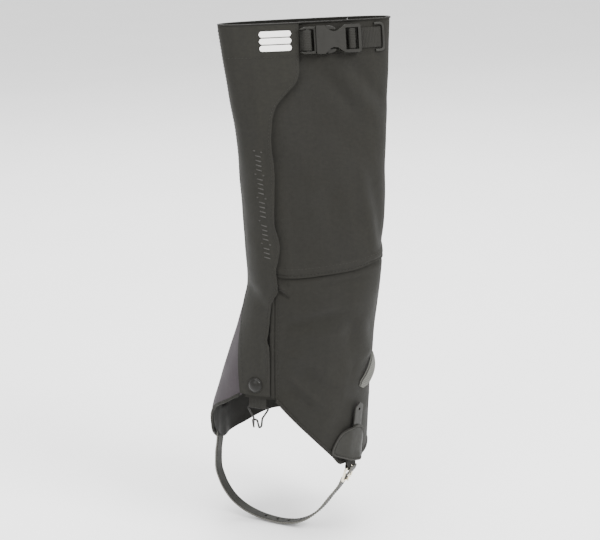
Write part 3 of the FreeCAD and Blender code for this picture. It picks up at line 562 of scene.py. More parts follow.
class Nodes:
    """One procedural material and its nodes."""

    def __init__(self, name, roughness, metallic=0.0, sheen=0.0, specular=0.5):
        self.material = bpy.data.materials.new(name)
        self.material.use_nodes = True
        self.tree = self.material.node_tree
        self.shader = self.tree.nodes["Principled BSDF"]
        values = {"Roughness": roughness, "Metallic": metallic, "Sheen Weight": sheen,
                  "Sheen Roughness": 0.6, "Specular IOR Level": specular}
        for key, value in values.items():
            self.shader.inputs[key].default_value = value

    def feed(self, socket, value):
        if isinstance(value, bpy.types.NodeSocket):
            self.tree.links.new(value, socket)
        else:
            socket.default_value = value

    def add(self, kind, **inputs):
        node = self.tree.nodes.new(kind)
        for key, value in inputs.items():
            self.feed(node.inputs[key.replace("_", " ")], value)
        return node

    def where(self, cloth_map=False, scale=(1, 1, 1), turn=0.0):
        if cloth_map:
            source = self.add("ShaderNodeUVMap")
            source.uv_map = "cloth"
            vector = source.outputs["UV"]
        else:
            vector = self.add("ShaderNodeTexCoord").outputs["Object"]
        mapping = self.add("ShaderNodeMapping", Vector=vector, Scale=scale, Rotation=(0, 0, turn))
        return mapping.outputs["Vector"]

    def noise(self, vector, scale, detail=3.0, roughness=0.5):
        node = self.add("ShaderNodeTexNoise", Vector=vector, Scale=scale, Detail=detail, Roughness=roughness)
        return node.outputs["Fac"]

    def wave(self, vector, pitch, direction, distortion):
        """Bands this far apart, in metres."""
        node = self.add("ShaderNodeTexWave", Vector=vector, Scale=0.31416 / pitch, Distortion=distortion)
        node.inputs["Detail Scale"].default_value = 1.5
        node.bands_direction = direction
        return node.outputs["Fac"]

    def math(self, operation, a, b):
        node = self.tree.nodes.new("ShaderNodeMath")
        node.operation = operation
        for socket, value in zip(node.inputs, (a, b)):
            self.feed(socket, value)
        return node.outputs[0]

    def total(self, *terms):
        """Sum of (socket, weight) terms."""
        first, *others = [self.math("MULTIPLY", socket, weight) for socket, weight in terms]
        for term in others:
            first = self.math("ADD", first, term)
        return first

    def colour(self, fac, stops):
        node = self.add("ShaderNodeValToRGB", Fac=fac)
        ramp = node.color_ramp
        while len(ramp.elements) < len(stops):
            ramp.elements.new(0.5)
        for element, (position, colour) in zip(ramp.elements, stops):
            element.position = position
            element.color = (*colour, 1)
        self.feed(self.shader.inputs["Base Color"], node.outputs["Color"])

    def roughness(self, fac, low, high, out_low, out_high):
        node = self.add("ShaderNodeMapRange", Value=fac, From_Min=low, From_Max=high,
                        To_Min=out_low, To_Max=out_high)
        self.feed(self.shader.inputs["Roughness"], node.outputs["Result"])

    def bump(self, height, distance, strength, after=None):
        node = self.add("ShaderNodeBump", Height=height, Distance=distance, Strength=strength)
        if after is not None:
            self.tree.links.new(after, node.inputs["Normal"])
        self.feed(self.shader.inputs["Normal"], node.outputs["Normal"])
        return node.outputs["Normal"]


def shade(colour, k):
    return tuple(min(c * k, 1.0) for c in colour)


def woven(name, colour, pitch=0.0011, depth=0.00016, contrast=0.34, rough=(0.72, 0.9), sheen=0.03, twill=0.0):
    """Plain or twill weave: crossing yarns, slubs, and slow change of tone over the cloth."""
    m = Nodes(name, rough[1], sheen=sheen, specular=0.12)
    here = m.where(cloth_map=True, turn=twill)
    yarns = m.total((m.wave(here, pitch, "X", 0.35), 0.5), (m.wave(here, pitch * 1.12, "Y", 0.35), 0.5))
    fine = m.noise(here, 900.0, 2.0, 0.6)
    slow = m.noise(here, 22.0, 4.0, 0.55)
    streak = m.noise(m.where(cloth_map=True, scale=(160.0, 14.0, 1.0)), 1.0, 3.0, 0.6)
    cloudy = m.noise(here, 240.0, 3.0, 0.65)
    tone = m.total((slow, 0.275), (cloudy, 0.275), (yarns, 0.2), (fine, 0.125), (streak, 0.125))
    m.colour(tone, [(0.3, shade(colour, 1 - contrast)), (0.5, colour), (0.7, shade(colour, 1 + contrast))])
    m.roughness(slow, 0.35, 0.65, *rough)
    first = m.bump(m.noise(here, 150.0, 3.0, 0.6), 0.0004, 0.35)
    m.bump(m.total((yarns, 1), (fine, 0.5)), depth, 0.8, after=first)
    return m.material


def ribbed(name, colour, pitch, across="X", contrast=0.2, depth=0.0003):
    """Grosgrain, webbing or ribbed elastic: bands across the tape with fine yarns along it."""
    m = Nodes(name, 0.7, sheen=0.02, specular=0.15)
    here = m.where(cloth_map=True)
    bands = m.wave(here, pitch, across, 0.25)
    fine = m.noise(here, 1200.0, 2.0)
    slow = m.noise(here, 60.0, 3.0)
    tone = m.total((bands, 0.35), (fine, 0.325), (slow, 0.325))
    m.colour(tone, [(0.25, shade(colour, 1 - contrast)), (0.5, colour), (0.8, shade(colour, 1 + contrast))])
    m.roughness(fine, 0.3, 0.7, 0.64, 0.78)
    m.bump(m.total((bands, 1), (fine, 0.4)), depth, 0.9)
    return m.material


def moulded(name, colour, rough, contrast, specular=0.35, grain=1400.0, depth=0.00006, metallic=0.0, wear=1.12):
    """Moulded plastic, enamel or coated rubber: fine grain, slow change of gloss, scuffed high spots."""
    m = Nodes(name, rough, metallic=metallic, specular=specular)
    here = m.where()
    fine = m.noise(here, grain, 2.0, 0.6)
    slow = m.noise(here, 70.0, 4.0, 0.6)
    scuff = m.noise(here, 260.0, 5.0, 0.7)
    tone = m.total((slow, 0.6), (fine, 0.4))
    m.colour(tone, [(0.32, shade(colour, 1 - contrast)), (0.52, colour), (0.72, shade(colour, wear))])
    m.roughness(scuff, 0.35, 0.7, rough - 0.07, rough + 0.12)
    m.bump(fine, depth, 0.7, after=m.bump(slow, 0.0002, 0.25))
    return m.material


def fuzzy(name, colour):
    """Hook or loop tape: a dense pile of tiny tufts."""
    m = Nodes(name, 0.95, sheen=0.3, specular=0.1)
    here = m.where()
    cells = m.add("ShaderNodeTexVoronoi", Vector=here, Scale=700.0).outputs["Distance"]
    tone = m.total((cells, 0.7), (m.noise(here, 1800.0, 2.0), 0.4))
    m.colour(tone, [(0.1, shade(colour, 1.5)), (0.7, shade(colour, 0.6))])
    m.bump(tone, 0.0006, 0.9)
    return m.material


LOOKS = {
    "shell": woven("shell_cloth", (0.0112, 0.0107, 0.0088)),
    "strip": woven("strip_cloth", (0.0130, 0.0125, 0.0103)),
    "lining": woven("coated_lining", (0.0070, 0.0067, 0.0054), depth=0.00008, contrast=0.1, rough=(0.55, 0.7),
                    sheen=0.0),
    "stretch": woven("stretch_twill", (0.034, 0.0285, 0.032), pitch=0.0014, twill=0.78, contrast=0.2),
    "binding": ribbed("grosgrain", (0.0095, 0.0090, 0.0074), 0.0011),
    "webbing": ribbed("ribbed_webbing", (0.0118, 0.0113, 0.0094), 0.0016, contrast=0.25),
    "elastic": ribbed("ribbed_elastic", (0.095, 0.095, 0.085), 0.0019, contrast=0.3, depth=0.0006),
    "pile": fuzzy("hook_pile", (0.010, 0.010, 0.009)),
    "thread": ribbed("thread", (0.0180, 0.0172, 0.0148), 0.0006, across="Y", contrast=0.3),
    "plastic": moulded("acetal", (0.0115, 0.0110, 0.0092), 0.42, 0.15, 0.2),
    "enamel": moulded("snap_enamel", (0.0070, 0.0067, 0.0056), 0.34, 0.2, 0.17),
    "wire": moulded("oxide_wire", (0.0080, 0.0078, 0.0062), 0.35, 0.25, 0.25),
    "nickel": moulded("worn_nickel", (0.72, 0.66, 0.52), 0.24, 0.2, metallic=1.0, wear=1.2),
    "strap": moulded("coated_strap", (0.0130, 0.0126, 0.0106), 0.46, 0.18, 0.25, grain=900.0, depth=0.0001),
    # Painted light: a paler copy of the strap's coating for its upper face, lit from above.
    "pale_painted_light": moulded("painted_light_pale_coating", (0.031, 0.0304, 0.0268), 0.6, 0.2, 0.2, grain=900.0),
    # Painted highlight: a pale copy of the strap's coating for the lines along its rounded edges.
    "strap_edge_highlight": moulded("painted_strap_edge_highlight", (0.095, 0.093, 0.083), 0.65, 0.25, 0.15, grain=900.0),
    "patch": moulded("patch_coating", (0.0150, 0.0146, 0.0124), 0.55, 0.14, 0.18, grain=1100.0, depth=0.00012),
    "film": moulded("reflective_film", (0.80, 0.79, 0.76), 0.4, 0.05, grain=2200.0, depth=0.00004, wear=1.05),
    "print": moulded("tonal_print", (0.040, 0.039, 0.036), 0.6, 0.2, 0.15),
}


def paint(look, *nodes):
    """Gives CAD pieces that are shown as they are a look and smooth faces."""
    for node in nodes:
        mesh = frame["nodes"][node].data
        mesh.materials.clear()
        mesh.materials.append(LOOKS[look])
        mesh.polygons.foreach_set("use_smooth", [True] * len(mesh.polygons))


# ---- fabric panels


def strip_lift(angle, height):
    """Extra lift of the flap along its free edge, which never lies quite flat."""
    near = smooth(1 - (curve(FREE_EDGE, height) - x_at(angle, height)) / 9)
    ripple = 0.35 * np.sin(height / 11.0) + 0.3 * np.sin(height / 26.0 + 1.0)
    loose = 2.0 - 0.9 * smooth((-250 - height) / 20)
    return near * loose * (1 + ripple) * smooth((-36 - height) / 20)


def medial_dip(angle, height):
    """The medial panel dips below the strip that overlaps it."""
    inside = smooth((curve(FREE_EDGE, height) + 12 - x_at(angle, height)) / 12)
    return np.where(abs(angle) < 90, -1.25 * inside, 0.0)


def build_strip():
    rows = 187
    left, hinge, free = down(STRIP_SEAM, rows), down_front(HINGE, rows), down_front(FREE_EDGE, rows)
    places = np.concatenate([rows_between(left, hinge, 17), rows_between(hinge, free, 25)[1:]])
    a, z = places[..., 0], places[..., 1]
    lift = strip_lift(a, z)
    margin = np.zeros((40, rows - 1), bool)
    margin[:16, 136:] = True
    outer, inner, uv = skin(a, z, STRIP_TOP + lift), skin(a, z, 0.8 + lift), cloth_uv(places)
    strip = sheet_mesh("front_strip_cloth", outer, inner, LOOKS["strip"], uv, ~margin, LOOKS["lining"])
    place(strip, FLAP_BEND, ("front_strip", "storm_flap"))
    sewn = sheet_mesh("flap_margin_cloth", outer, inner, LOOKS["strip"], uv, margin, LOOKS["lining"])
    place(sewn, "sleeve", "flap_margin")
    edge = down_front(FREE_EDGE, rows, shift=-2.6)[1:-2]
    stitch_on("flap_edge_stitches", edge, STRIP_TOP + strip_lift(*edge.T), FLAP_BEND)
    stitch_on("strip_seam_stitches", left[2:-4] + [4.4, 0], STRIP_TOP)
    cuff = level(-96, 2, CUFF_ROW, 90)
    stitch_on("cuff_stitches_strip", cuff[x_at(*cuff.T) < -14], STRIP_TOP)


def build_calf():
    """The long medial panel above the arched seam."""
    count, foot = 150, -247.5
    share = 1 - (1 - np.linspace(0, 1, count)) ** 1.5
    heights = foot * share
    left = np.stack([front_angle(curve(HIDDEN_EDGE, heights), heights), heights], -1)
    right = np.stack([np.full(count, float(BACK)), -232 * share], -1)
    corner = left[-1, 0]
    seam = [(corner, foot)] + ARCH_SEAM
    places = coons(left, right, level(front_angle(-56, 0), BACK, 0, count), around(seam, corner, BACK, count))
    a, z = places[..., 0], places[..., 1]
    above = z - curve(seam, a)
    lap = 0.8 * smooth(1 - (above - 7) / 4) + 0.3 * smooth(1 - abs(above - 5) / 3)
    lap = (1.25 * lap - 0.5 * bump_at(above - 2.2, 0.9)) * smooth((a + 60) / 25)
    dip = medial_dip(a, z)
    upper = panel("medial_upper_cloth", places, dip + lap, dip - CLOTH, "shell", node="medial_upper_panel",
                  lining="lining")
    for name, shift, lift in (("arch_stitches_2", 2.2, 0.5), ("arch_stitches_8", 8.5, 0.45)):
        stitch_on(name, around(seam, -33, BACK - 3, 170, shift), lift)
    stitch_on("cuff_stitches_medial", level(-2, BACK - 3, CUFF_ROW, 150), 0)


def build_guard():
    """The ankle guard below the arched seam, with its bound front edge."""
    left = down_front(GUARD_FRONT, 112)
    right = down([(-232, BACK), (-436, BACK)], 112)
    angles = np.linspace(left[0, 0], BACK, 150)
    seam = curve([(left[0, 0], -249)] + ARCH_SEAM, angles)
    under = smooth((x_at(angles, seam) + 47) / 5) * smooth((BACK - 6 - angles) / 3)
    hem = around([(left[-1, 0], -377.5)] + MEDIAL_HEM[1:], left[-1, 0], BACK, 150)
    places = coons(left, right, np.stack([angles, seam + 2.5 * under], -1), hem)
    tuck = -(0.45 + 0.85 * under[:, None]) * smooth(1 - (seam[:, None] - 0.2 - places[..., 1]) / 6)
    lower = panel("medial_lower_cloth", places, tuck, tuck - CLOTH, "shell", node="medial_lower_panel",
                  lining="lining")
    profile = [-0.3, 0.35, 0.6, 0.65, 0.65, 0.65, 0.6, 0.5, 0.2, -0.5, -0.95, -0.95, -0.6, -0.05]
    profile = np.array(profile)[:, None]
    first, last = (down_front(GUARD_FRONT, 90, -252, -374, shift) for shift in (-5.6, 0.4))
    bound = rows_between(first, last, len(profile))
    panel("edge_binding_tape", bound, profile, profile - 0.5, "shell", node="edge_binding")
    stitch_on("edge_binding_stitches", down_front(GUARD_FRONT, 80, -256, -373, 2.6), 0.0)


def build_lateral():
    start = BACK - 360 + 0.3
    left = down([(0, start), (-436, start)], 180)
    right = down([(z, angle + 1.5) for z, angle in STRIP_SEAM[:-1]] + [(-374, -52)], 180)
    hem = around([(start, -436)] + LATERAL_HEM[1:-1] + [(-52, -374)], start, -52, 110)
    places = coons(left, right, level(start, right[0, 0], 0, 110), hem)
    outer = panel("lateral_cloth", places, 0.0, -CLOTH, "stretch", node="lateral_panel", lining="lining")
    for side, angle in (("near", start + 1.25), ("far", start + 358.75)):
        stitch_on(f"back_stitches_{side}", down([(-4, angle), (-432, angle)], 200), 0.0)
    stitch_on("cuff_stitches_lateral", level(start + 3, -104, CUFF_ROW, 90), 0)


def folded_edge(name, places, out, width, look, node):
    """Tape folded over a hem: up its outer face, round its edge and up the inside."""
    inside, deep = -1.9, 6
    middle = (out + inside) / 2
    outline = np.array([
        (width, out - 0.3), (width - 0.4, out), (width / 2, out), (0.6, out), (-0.2, out - 0.35),
        (-0.45, middle), (-0.2, inside + 0.35), (0.6, inside), (deep, inside), (deep, inside + 0.45),
        (0.9, inside + 0.5), (0.5, middle), (0.9, out - 0.6), (width - 0.2, out - 0.6),
    ])
    a, z = places[:, 0], places[:, 1]
    rings = np.stack([skin(a, z + up, lift) for up, lift in outline], 1)
    uv = np.stack(np.broadcast_arrays(arc_at(a, z)[:, None], outline[None, :, 0]), -1) * MM
    obj = add_mesh(name, rings.reshape(-1, 3), tube_faces(*rings.shape[:2]), LOOKS[look], uv)
    place(recalculate(obj), "sleeve", node)


def build_hems():
    medial = around(MEDIAL_HEM, -22.7, BACK - 0.1, 170)
    folded_edge("medial_hem_tape", medial, 0.75, 4.2, "shell", "hem_binding_medial")
    lateral = around(LATERAL_HEM[:-1] + [(-57, -378.4), (-52.9, -375.4)], -209.9, -54, 170)
    folded_edge("lateral_hem_tape", lateral, 0.8, 3.6, "strip", "hem_binding_lateral")
    stitch_on("medial_hem_stitches", medial + [0, 3.2], 0.75)
    stitch_on("lateral_hem_stitches", lateral + [0, 2.7], 0.8)
    foot = level(-51.5, -20, -369, 60)
    x = x_at(*foot.T)
    stitch_on("flap_foot_stitches", foot[(x > -77) & (x < -58.5)], STRIP_TOP, FLAP_BEND)


def build_rim():
    """Binding round the top of the cuff, thicker where it goes over the strip."""
    angles = np.linspace(-180, 180, 240, endpoint=False)
    over_strip = (angles > -104) & (angles < front_angle(-8, 0))
    outline = [
        (0.1, 1.8), (0.5, 2.15), (1.1, 2.2), (1.45, 1.7), (1.5, -0.6), (1.45, -2.2), (1.1, -2.7), (0.2, -2.7),
    ]
    rings = np.stack([
        off_sleeve(angles, 0, np.where(over_strip, lift, min(lift, 0.9))) + np.array([0, 0, up]) * MM
        for up, lift in outline
    ], 1)
    uv = np.stack(np.broadcast_arrays(arc_at(angles, 0)[:, None], np.arange(len(outline))[None]), -1) * MM
    rim = add_mesh("rim_tape", rings.reshape(-1, 3), tube_faces(*rings.shape[:2], False), LOOKS["binding"], uv)
    place(recalculate(rim), "sleeve", "rim_binding")


def build_hem_facing():
    """Deep facing inside the outer panel's hem; the strap's end is sewn under it."""
    deep, rows = 46, 20
    hem = around(LATERAL_HEM, -204, -62, 190)
    places = ruled(hem + [0, deep], hem + [0, 1.2], rows)
    a, z = places[..., 0], places[..., 1]
    away = abs(arc_at(a, z) - arc_at(-120.0, -440.0))
    from_top = smooth(np.linspace(0, deep, rows) / 14)[None, :]
    lift = -1.25 - from_top * (0.85 + 3.4 * (1 - smooth((away - 8) / 17)))
    panel("hem_facing_cloth", places, lift, lift - 0.7, "binding", lining="lining")


def build_pile(name, body, top, bottom, width, clear):
    """Hook tape under the strip and loop tape below it, clear of the line where the flap bends."""
    heights = np.linspace(top, bottom, 80)
    free = curve(FREE_EDGE, heights)
    start = np.maximum(free - width, curve(HINGE, heights) + clear)
    left, right = (np.stack([front_angle(x, heights), heights], -1) for x in (start, free - 2.5))
    places = rows_between(left, right, 10)
    lift = strip_lift(places[..., 0], places[..., 1])
    panel(f"hook_pile_{name}", places, 0.75 + lift, 0.1 + lift, "pile", body, f"hook_tape_{name}")
    panel(f"loop_pile_{name}", places, -0.4, -1.0, "pile", node=f"loop_tape_{name}")


def build_inside():
    start, end = BACK - 359.6, BACK - 0.4
    facing = ruled(level(start, end, 0, 200), level(start, end, -30, 200), 10)
    panel("cuff_facing_cloth", facing, -2.4, -3.3, "binding", node="cuff_facing")
    stitch_on("facing_stitches", facing[:, -1] + [0, 2], -3.3)
    tape = rows_between(down([(-2, 146), (-430, 144)], 130), down([(-2, 154), (-430, 156)], 130), 6)
    panel("back_seam_cover", tape, -1.35, -2.1, "binding", node="back_seam_tape")
    tucked = down_front([(-251, -61), (-272, -63), (-376, -81.7)], 70)
    edge = down_front([(-251, -42), (-272, -43), (-376, -46)], 70)
    under = panel("underlap_cloth", rows_between(tucked, edge, 16), -1.25, -2.3, "shell", node="underlap",
                  lining="lining")
    build_pile("upper", "sleeve", -62, -244, 20, -40)
    build_pile("lower", FLAP_BEND, -277, -347, 14, 4)


# ---- closure hardware


def rounded_copy(node, body, width, taper=None):
    """The CAD piece with its sharp edges rounded off, in place of the plain node."""
    work = welded(node)
    bmesh.ops.dissolve_limit(work, angle_limit=math.radians(2), verts=work.verts, edges=work.edges)
    corners = [e for e in work.edges if len(e.link_faces) == 2 and e.calc_face_angle(0) > math.radians(22)]
    bmesh.ops.bevel(work, geom=corners, offset=width, segments=3, profile=0.6, affect="EDGES",
                    clamp_overlap=True)
    obj = from_bmesh(work, f"{node}_moulding", LOOKS["plastic"])
    if taper:
        taper(obj)
    obj.modifiers.new("weighted", "WEIGHTED_NORMAL").keep_sharp = True
    place(obj, body, node)


def buckle_matrix():
    """Local frame of the buckle: +X towards the female half, +Z up the cuff, -Y outwards."""
    along = Vector(joints["buckle_release"]["axis"])
    inward = Vector(joints["release_arm_upper_squeeze"]["axis"])
    high, low = (Vector(joints[f"release_arm_{k}_squeeze"]["pos_m"]) for k in ("upper", "lower"))
    matrix = Matrix((along, inward, along.cross(inward))).transposed().to_4x4()
    matrix.translation = (high + low) / 2 - along * 2.6 * MM
    return matrix


def build_buckle():
    here = buckle_matrix()
    back = here.inverted()

    def slim(obj):
        """The female half thins from its mouth to its ladder frame."""
        for vertex in obj.data.vertices:
            local = back @ vertex.co
            frame_share = float(smooth((local.x / MM - 8) / 24))
            local.y *= 1 - 0.34 * frame_share - 0.05 * (abs(local.z / MM) / 14) ** 2
            vertex.co = here @ local

    rounded_copy("buckle_female", "buckle", 0.0009, slim)
    rounded_copy("buckle_male", "sleeve", 0.0007)
    rounded_copy("release_arm_upper", "arm_upper", 0.0006)
    rounded_copy("release_arm_lower", "arm_lower", 0.0006)


def build_webbing():
    here = buckle_matrix()
    across = here.to_3x3() @ UP
    width, thick = 0.0198, 0.0011
    bar, radius = 36.8, 2.6
    wrap = []
    for turn in np.linspace(0, 2 * math.pi, 48, endpoint=False):
        c = math.cos(turn)
        x = bar + 2.1 * math.copysign(abs(c) ** 0.35, c) + 0.9 * c
        wrap.append(here @ (Vector((x, -0.88 * radius * math.sin(turn), 0)) * MM))
    band = strap_mesh("ladder_webbing", wrap, across, width, thick, "webbing", closed=True)
    place(band, "buckle", "webbing_wrap")

    route = [
        (-30, 6.95), (-22, 6.7), (-15.6, 6.2), (-14.3, 4.2), (-13.2, 0.5), (-12.2, -2.2), (-10.6, -3.3),
        (-8.2, -3.4), (-6.2, -3.0), (-5.3, -1.4), (-5.3, 1.4), (-6.2, 3.0), (-8.4, 3.3), (-11.6, 3.2),
    ]
    path = smooth_path([here @ (Vector((x, y, 0)) * MM) for x, y in route], 90)
    place(strap_mesh("male_webbing", path, across, width, thick, "webbing"), "sleeve", "buckle_webbing")

    x, z = np.meshgrid(np.linspace(43, 73, 30), np.linspace(-7, -26.6, 12), indexing="ij")
    places = np.stack([front_angle(x, z), z], -1)
    band = panel("cuff_webbing_band", places, 1.35, 0.15, "webbing", node="cuff_webbing")
    anchor = Vector(section_point(float(front_angle(73.0, BUCKLE_HEIGHT)), BUCKLE_HEIGHT)) * MM
    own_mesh(band)


def build_exit():
    """Low C-shaped edging that the cuff's webbing comes out of."""
    here = seat(float(front_angle(71.5, BUCKLE_HEIGHT)), BUCKLE_HEIGHT, 0.5)
    half = 13.3
    route = [
        (-5.4, half), (0, half + 0.1), (3.2, half - 0.9), (4.4, half - 3.2), (4.6, 4), (4.6, -4),
        (4.2, -half + 3), (3.0, -half + 1), (0, -half), (-5.0, -half + 0.2),
    ]
    path = smooth_path([here @ (Vector((x, -0.9, z)) * MM) for x, z in route], 120)
    outward = here.to_3x3() @ Vector((0, 1, 0))
    lip = strap_mesh("exit_edging", path, outward, 0.0019, 0.0026, "patch", edge=0.0008)
    place(lip, "sleeve", "webbing_exit")


def build_bars():
    """Three plain reflective bars of equal length, with round ends."""
    points, faces = [], []
    xs, rows, half = np.linspace(-50, -18, 33), np.linspace(1, -1, 9), 2.9
    beyond = np.clip(np.maximum(-47 - xs, xs + 21), 0, 3) / 3
    reach = np.maximum(np.sqrt(np.clip(1 - beyond ** 2, 0, 1)), 0.05)
    for height in (-8.8, -15.6, -22.4):
        z = height + half * rows[None, :] * reach[:, None]
        a = front_angle(np.broadcast_to(xs[:, None], z.shape), z)
        crown = 0.12 * (1 - np.abs(rows)[None, :] ** 4)
        outer, inner = skin(a, z, STRIP_TOP + 0.12 + crown), skin(a, z, STRIP_TOP + 0.02)
        bar_points, bar_faces, _ = closed_sheet(outer, inner)
        faces += (bar_faces + len(points)).tolist()
        points += bar_points.tolist()
    place(add_mesh("reflective_film_bars", points, faces, LOOKS["film"]), "sleeve", "reflective_bars")


def build_print():
    """A plain tonal row of slanted ticks down the strip, with no lettering."""
    points, faces = [], []
    for k in range(24):
        drop = k * 4.6
        x, z = -56 + 0.045 * drop, -121 - drop
        half = 2.4 if k % 5 else 4.2
        base = len(points)
        corners = [(x - half, z), (x - half, z - 1.1), (x + half, z - 2.5), (x + half, z - 1.4)]
        points += [tuple(skin(front_angle(*spot), spot[1], lift)) for lift in (2.30, 2.05) for spot in corners]
        faces += [(base, base + 1, base + 2, base + 3), (base + 7, base + 6, base + 5, base + 4)]
        faces += [(base + (i + 1) % 4, base + i, base + 4 + i, base + 4 + (i + 1) % 4) for i in range(4)]
    place(add_mesh("tonal_tick_print", points, faces, LOOKS["print"]), "sleeve")


def build_snap():
    here = seat(float(front_angle(-69, -361)), -361, STRIP_TOP) @ Matrix.Rotation(math.pi / 2, 4, "X")
    dome = [
        (0, 4.0), (1.6, 3.95), (3.4, 3.6), (5.0, 2.95), (6.1, 2.1), (6.6, 1.5), (6.75, 1.15), (7.1, 1.05),
        (7.6, 0.95), (7.85, 0.6), (7.8, 0.25), (7.4, 0.1), (0, 0.1),
    ]
    place(lathe("snap_cap_shell", dome, here, "enamel"), "flap", "snap_cap")
    paint("enamel", "snap_socket", "snap_stud", "snap_post")


def build_hook():
    here = seat(float(front_angle(-69.5, -376)), -376, 0)
    y, z = 5.2, -8.6
    route = [
        (y - 1.35, 8), (y - 1.4, 0), (y - 1.4, z + 0.3), (y - 0.9, z - 1.1), (y, z - 1.5), (y + 0.9, z - 1.1),
        (y + 1.4, z + 0.3), (y + 1.4, 0), (y + 1.35, 8),
    ]
    path = smooth_path([here @ (Vector((0, *spot)) * MM) for spot in route], 70)
    tab = strap_mesh("hook_tab_webbing", path, here.to_3x3() @ Vector((1, 0, 0)), 0.0192, 0.0009, "webbing")
    place(tab, "sleeve", "lace_hook_tab")
    row = [here @ (Vector((x, y - 1.87, z + 3.4)) * MM) for x in np.linspace(-8.7, 8.7, 20)]
    outward = here.to_3x3() @ Vector((0, -1, 0))
    place(stitch_mesh("hook_tab_stitches", row, [outward] * len(row), 0.0018, 0.0008), "sleeve")

    work = welded("lace_hook")
    work.normal_update()
    for vertex, normal in [(v, v.normal.copy()) for v in work.verts]:
        vertex.co += normal * (0.2 * MM)
    place(from_bmesh(work, "lace_hook_wire", LOOKS["wire"]), "hook", "lace_hook")


# ---- instep strap


def strap_axes():
    """Middle of the strap buckle's bar, the way towards the toe, and inwards across the boot."""
    toe = Vector(joints["prong_lift"]["axis"])
    inward = UP.cross(toe).normalized()
    if inward.dot(Vector(joints["strap_swing"]["axis"])) < 0:
        inward = -inward
    return Vector(joints["strap_swing"]["pos_m"]), toe, inward


def build_strap():
    bar, toe, inward = strap_axes()
    rise = (inward * 0.34 + UP).normalized()
    outward = rise.cross(toe).normalized()
    if outward.dot(inward) < 0:
        outward = -outward
    sewn = Vector(off_sleeve(*ANCHOR, -3.7))

    def at(along, height):
        return Vector((sewn.x, sewn.y, 0)) + inward * along * MM + Vector((0, 0, height * MM))

    hanging = [
        (0.3, -424), (0.3, -436), (-0.2, -450), (-2.8, -467), (-3.6, -483), (0.4, -498), (8.5, -512),
        (20.5, -523), (36, -530.2), (53, -534), (70, -535.2), (87, -533.4), (102, -528), (114.5, -519.5),
        (125.5, -508.5), (134.5, -496.5),
    ]
    lead = [(24, -3.6), (18.5, -2.9), (13.8, -2.3), (8, 0.7), (3.4, 3.0), (0.5, 3.6), (-2.6, 3.6)]
    points = [at(*p) for p in hanging] + [bar - rise * a * MM + outward * b * MM for a, b in lead]
    path = smooth_path(points, 260)
    start = at(0, ANCHOR[1])
    bend = ("sleeve", "strap", tuple(start), tuple(start + (inward * 0.3 - UP) * (30 * MM)))
    width, thick = 0.0128, 0.0018
    # The strap's second and third looks are painted light: a paler upper face and pale highlights on the
    # rounded edges.
    strap = strap_mesh("instep_strap_band", path, toe, width, thick, ["strap", "pale_painted_light", "strap_edge_highlight"])
    # Faces turned up towards the boot get the paler look, painted light from above.
    paint_lit_upper_face(strap, path)
    holes = []
    for share in (0.50, 0.55, 0.60, 0.655, 0.83, 0.88):
        k = int(share * (len(path) - 1))
        along = Vector(path[k + 1] - path[k - 1]).normalized()
        holes.append((Vector(path[k]), along.cross(toe).normalized()))
    punch(strap, holes)
    place(strap, bend, ("instep_strap", "strap_anchor"))
    side = np.array([tuple(toe)] * len(path))
    normals = unit(np.cross(side, np.gradient(path, axis=0)))
    for edge, across in (("fore", 0.0049), ("aft", -0.0049)):
        for face, sign in (("top", 1), ("under", -1)):
            line = path + side * across + normals * (thick / 2 * sign)
            place(stitch_mesh(f"strap_stitches_{edge}_{face}", line[6:-4], normals[6:-4] * sign), bend)


def paint_lit_upper_face(obj, path):
    """Gives the strap's faces that turn up towards the boot a paler colour: painted light falling from above on
    its upper face.
    """
    third = len(path) // 3
    centre = Vector(path[third:2 * len(path) // 3].mean(0) + np.array([0, 0, 0.04]))
    for face in obj.data.polygons:
        towards = (centre - face.center).normalized()
        if face.material_index == 0 and face.normal.normalized().dot(towards) > 0.25:
            face.material_index = 1


def build_tail():
    heights = np.linspace(-450.5, -390, 80)
    angles = curve(TAIL, heights)
    lift = curve([(-390, 4.3), (-425, 4.3), (-440, 4.5), (-450.5, 5.0)], heights)
    centre = section_point(angles, heights) + outward_at(angles, heights) * lift[:, None]
    round_leg = unit(section_point(angles + 1, heights) - section_point(angles - 1, heights))
    share = smooth((-446 - heights) / 12)[:, None]
    across = unit(round_leg * (1 - share) - np.array(tuple(strap_axes()[1])) * share)
    normal = unit(np.cross(across, np.gradient(centre, axis=0)))
    columns, half = np.linspace(-1, 1, 9), 6.3
    width = half * np.maximum(smooth((-390 - heights) / 5) ** 0.5, 0.12)
    crown = (0.9 - 0.25 * np.abs(columns) ** 6)[:, None, None]
    base = centre[None] + across[None] * (columns[:, None] * width[None, :])[..., None]
    outer, inner = (base + normal[None] * crown) * MM, (base - normal[None] * crown) * MM
    uv = np.stack(np.broadcast_arrays(columns[:, None] * half, heights[None, :]), -1) * MM
    outer, inner, uv = (grid[::-1, ::-1] for grid in (outer, inner, uv))
    tail = recalculate(sheet_mesh("strap_tail_band", outer, inner, LOOKS["strap"], uv))
    k = int(np.argmin(abs(heights + 397)))
    punch(tail, [(Vector(centre[k]) * MM, Vector(normal[k]))], depth=0.008)
    place(tail, "sleeve", "strap_tail")


# The shield's outline: angle and height.
SHIELD = [
    (36.5, -413.8), (41, -412.8), (45.5, -414.6), (49, -419), (52, -426), (54.6, -434), (56, -442),
    (55.8, -448.6), (52.5, -452.4), (47, -452.6), (42, -451.4), (36, -449), (30, -445.6), (25, -442.4),
    (22.2, -440), (21.6, -437), (22.8, -431), (25.6, -424.3), (29, -418.8), (32.6, -415.6),
]


def closed_curve(points, steps=20):
    """Smooth loop through the points, with this many places from each to the next."""
    p = np.array(points, float)
    t = np.linspace(0, 1, steps, endpoint=False)[None, :, None]
    before, here, after, beyond = (np.roll(p, k, 0)[:, None] for k in (1, 0, -1, -2))
    bend = (2 * here, (after - before) * t, (2 * before - 5 * here + 4 * after - beyond) * t ** 2,
            (3 * here - before - 3 * after + beyond) * t ** 3)
    return (sum(bend) / 2).reshape(-1, 2)


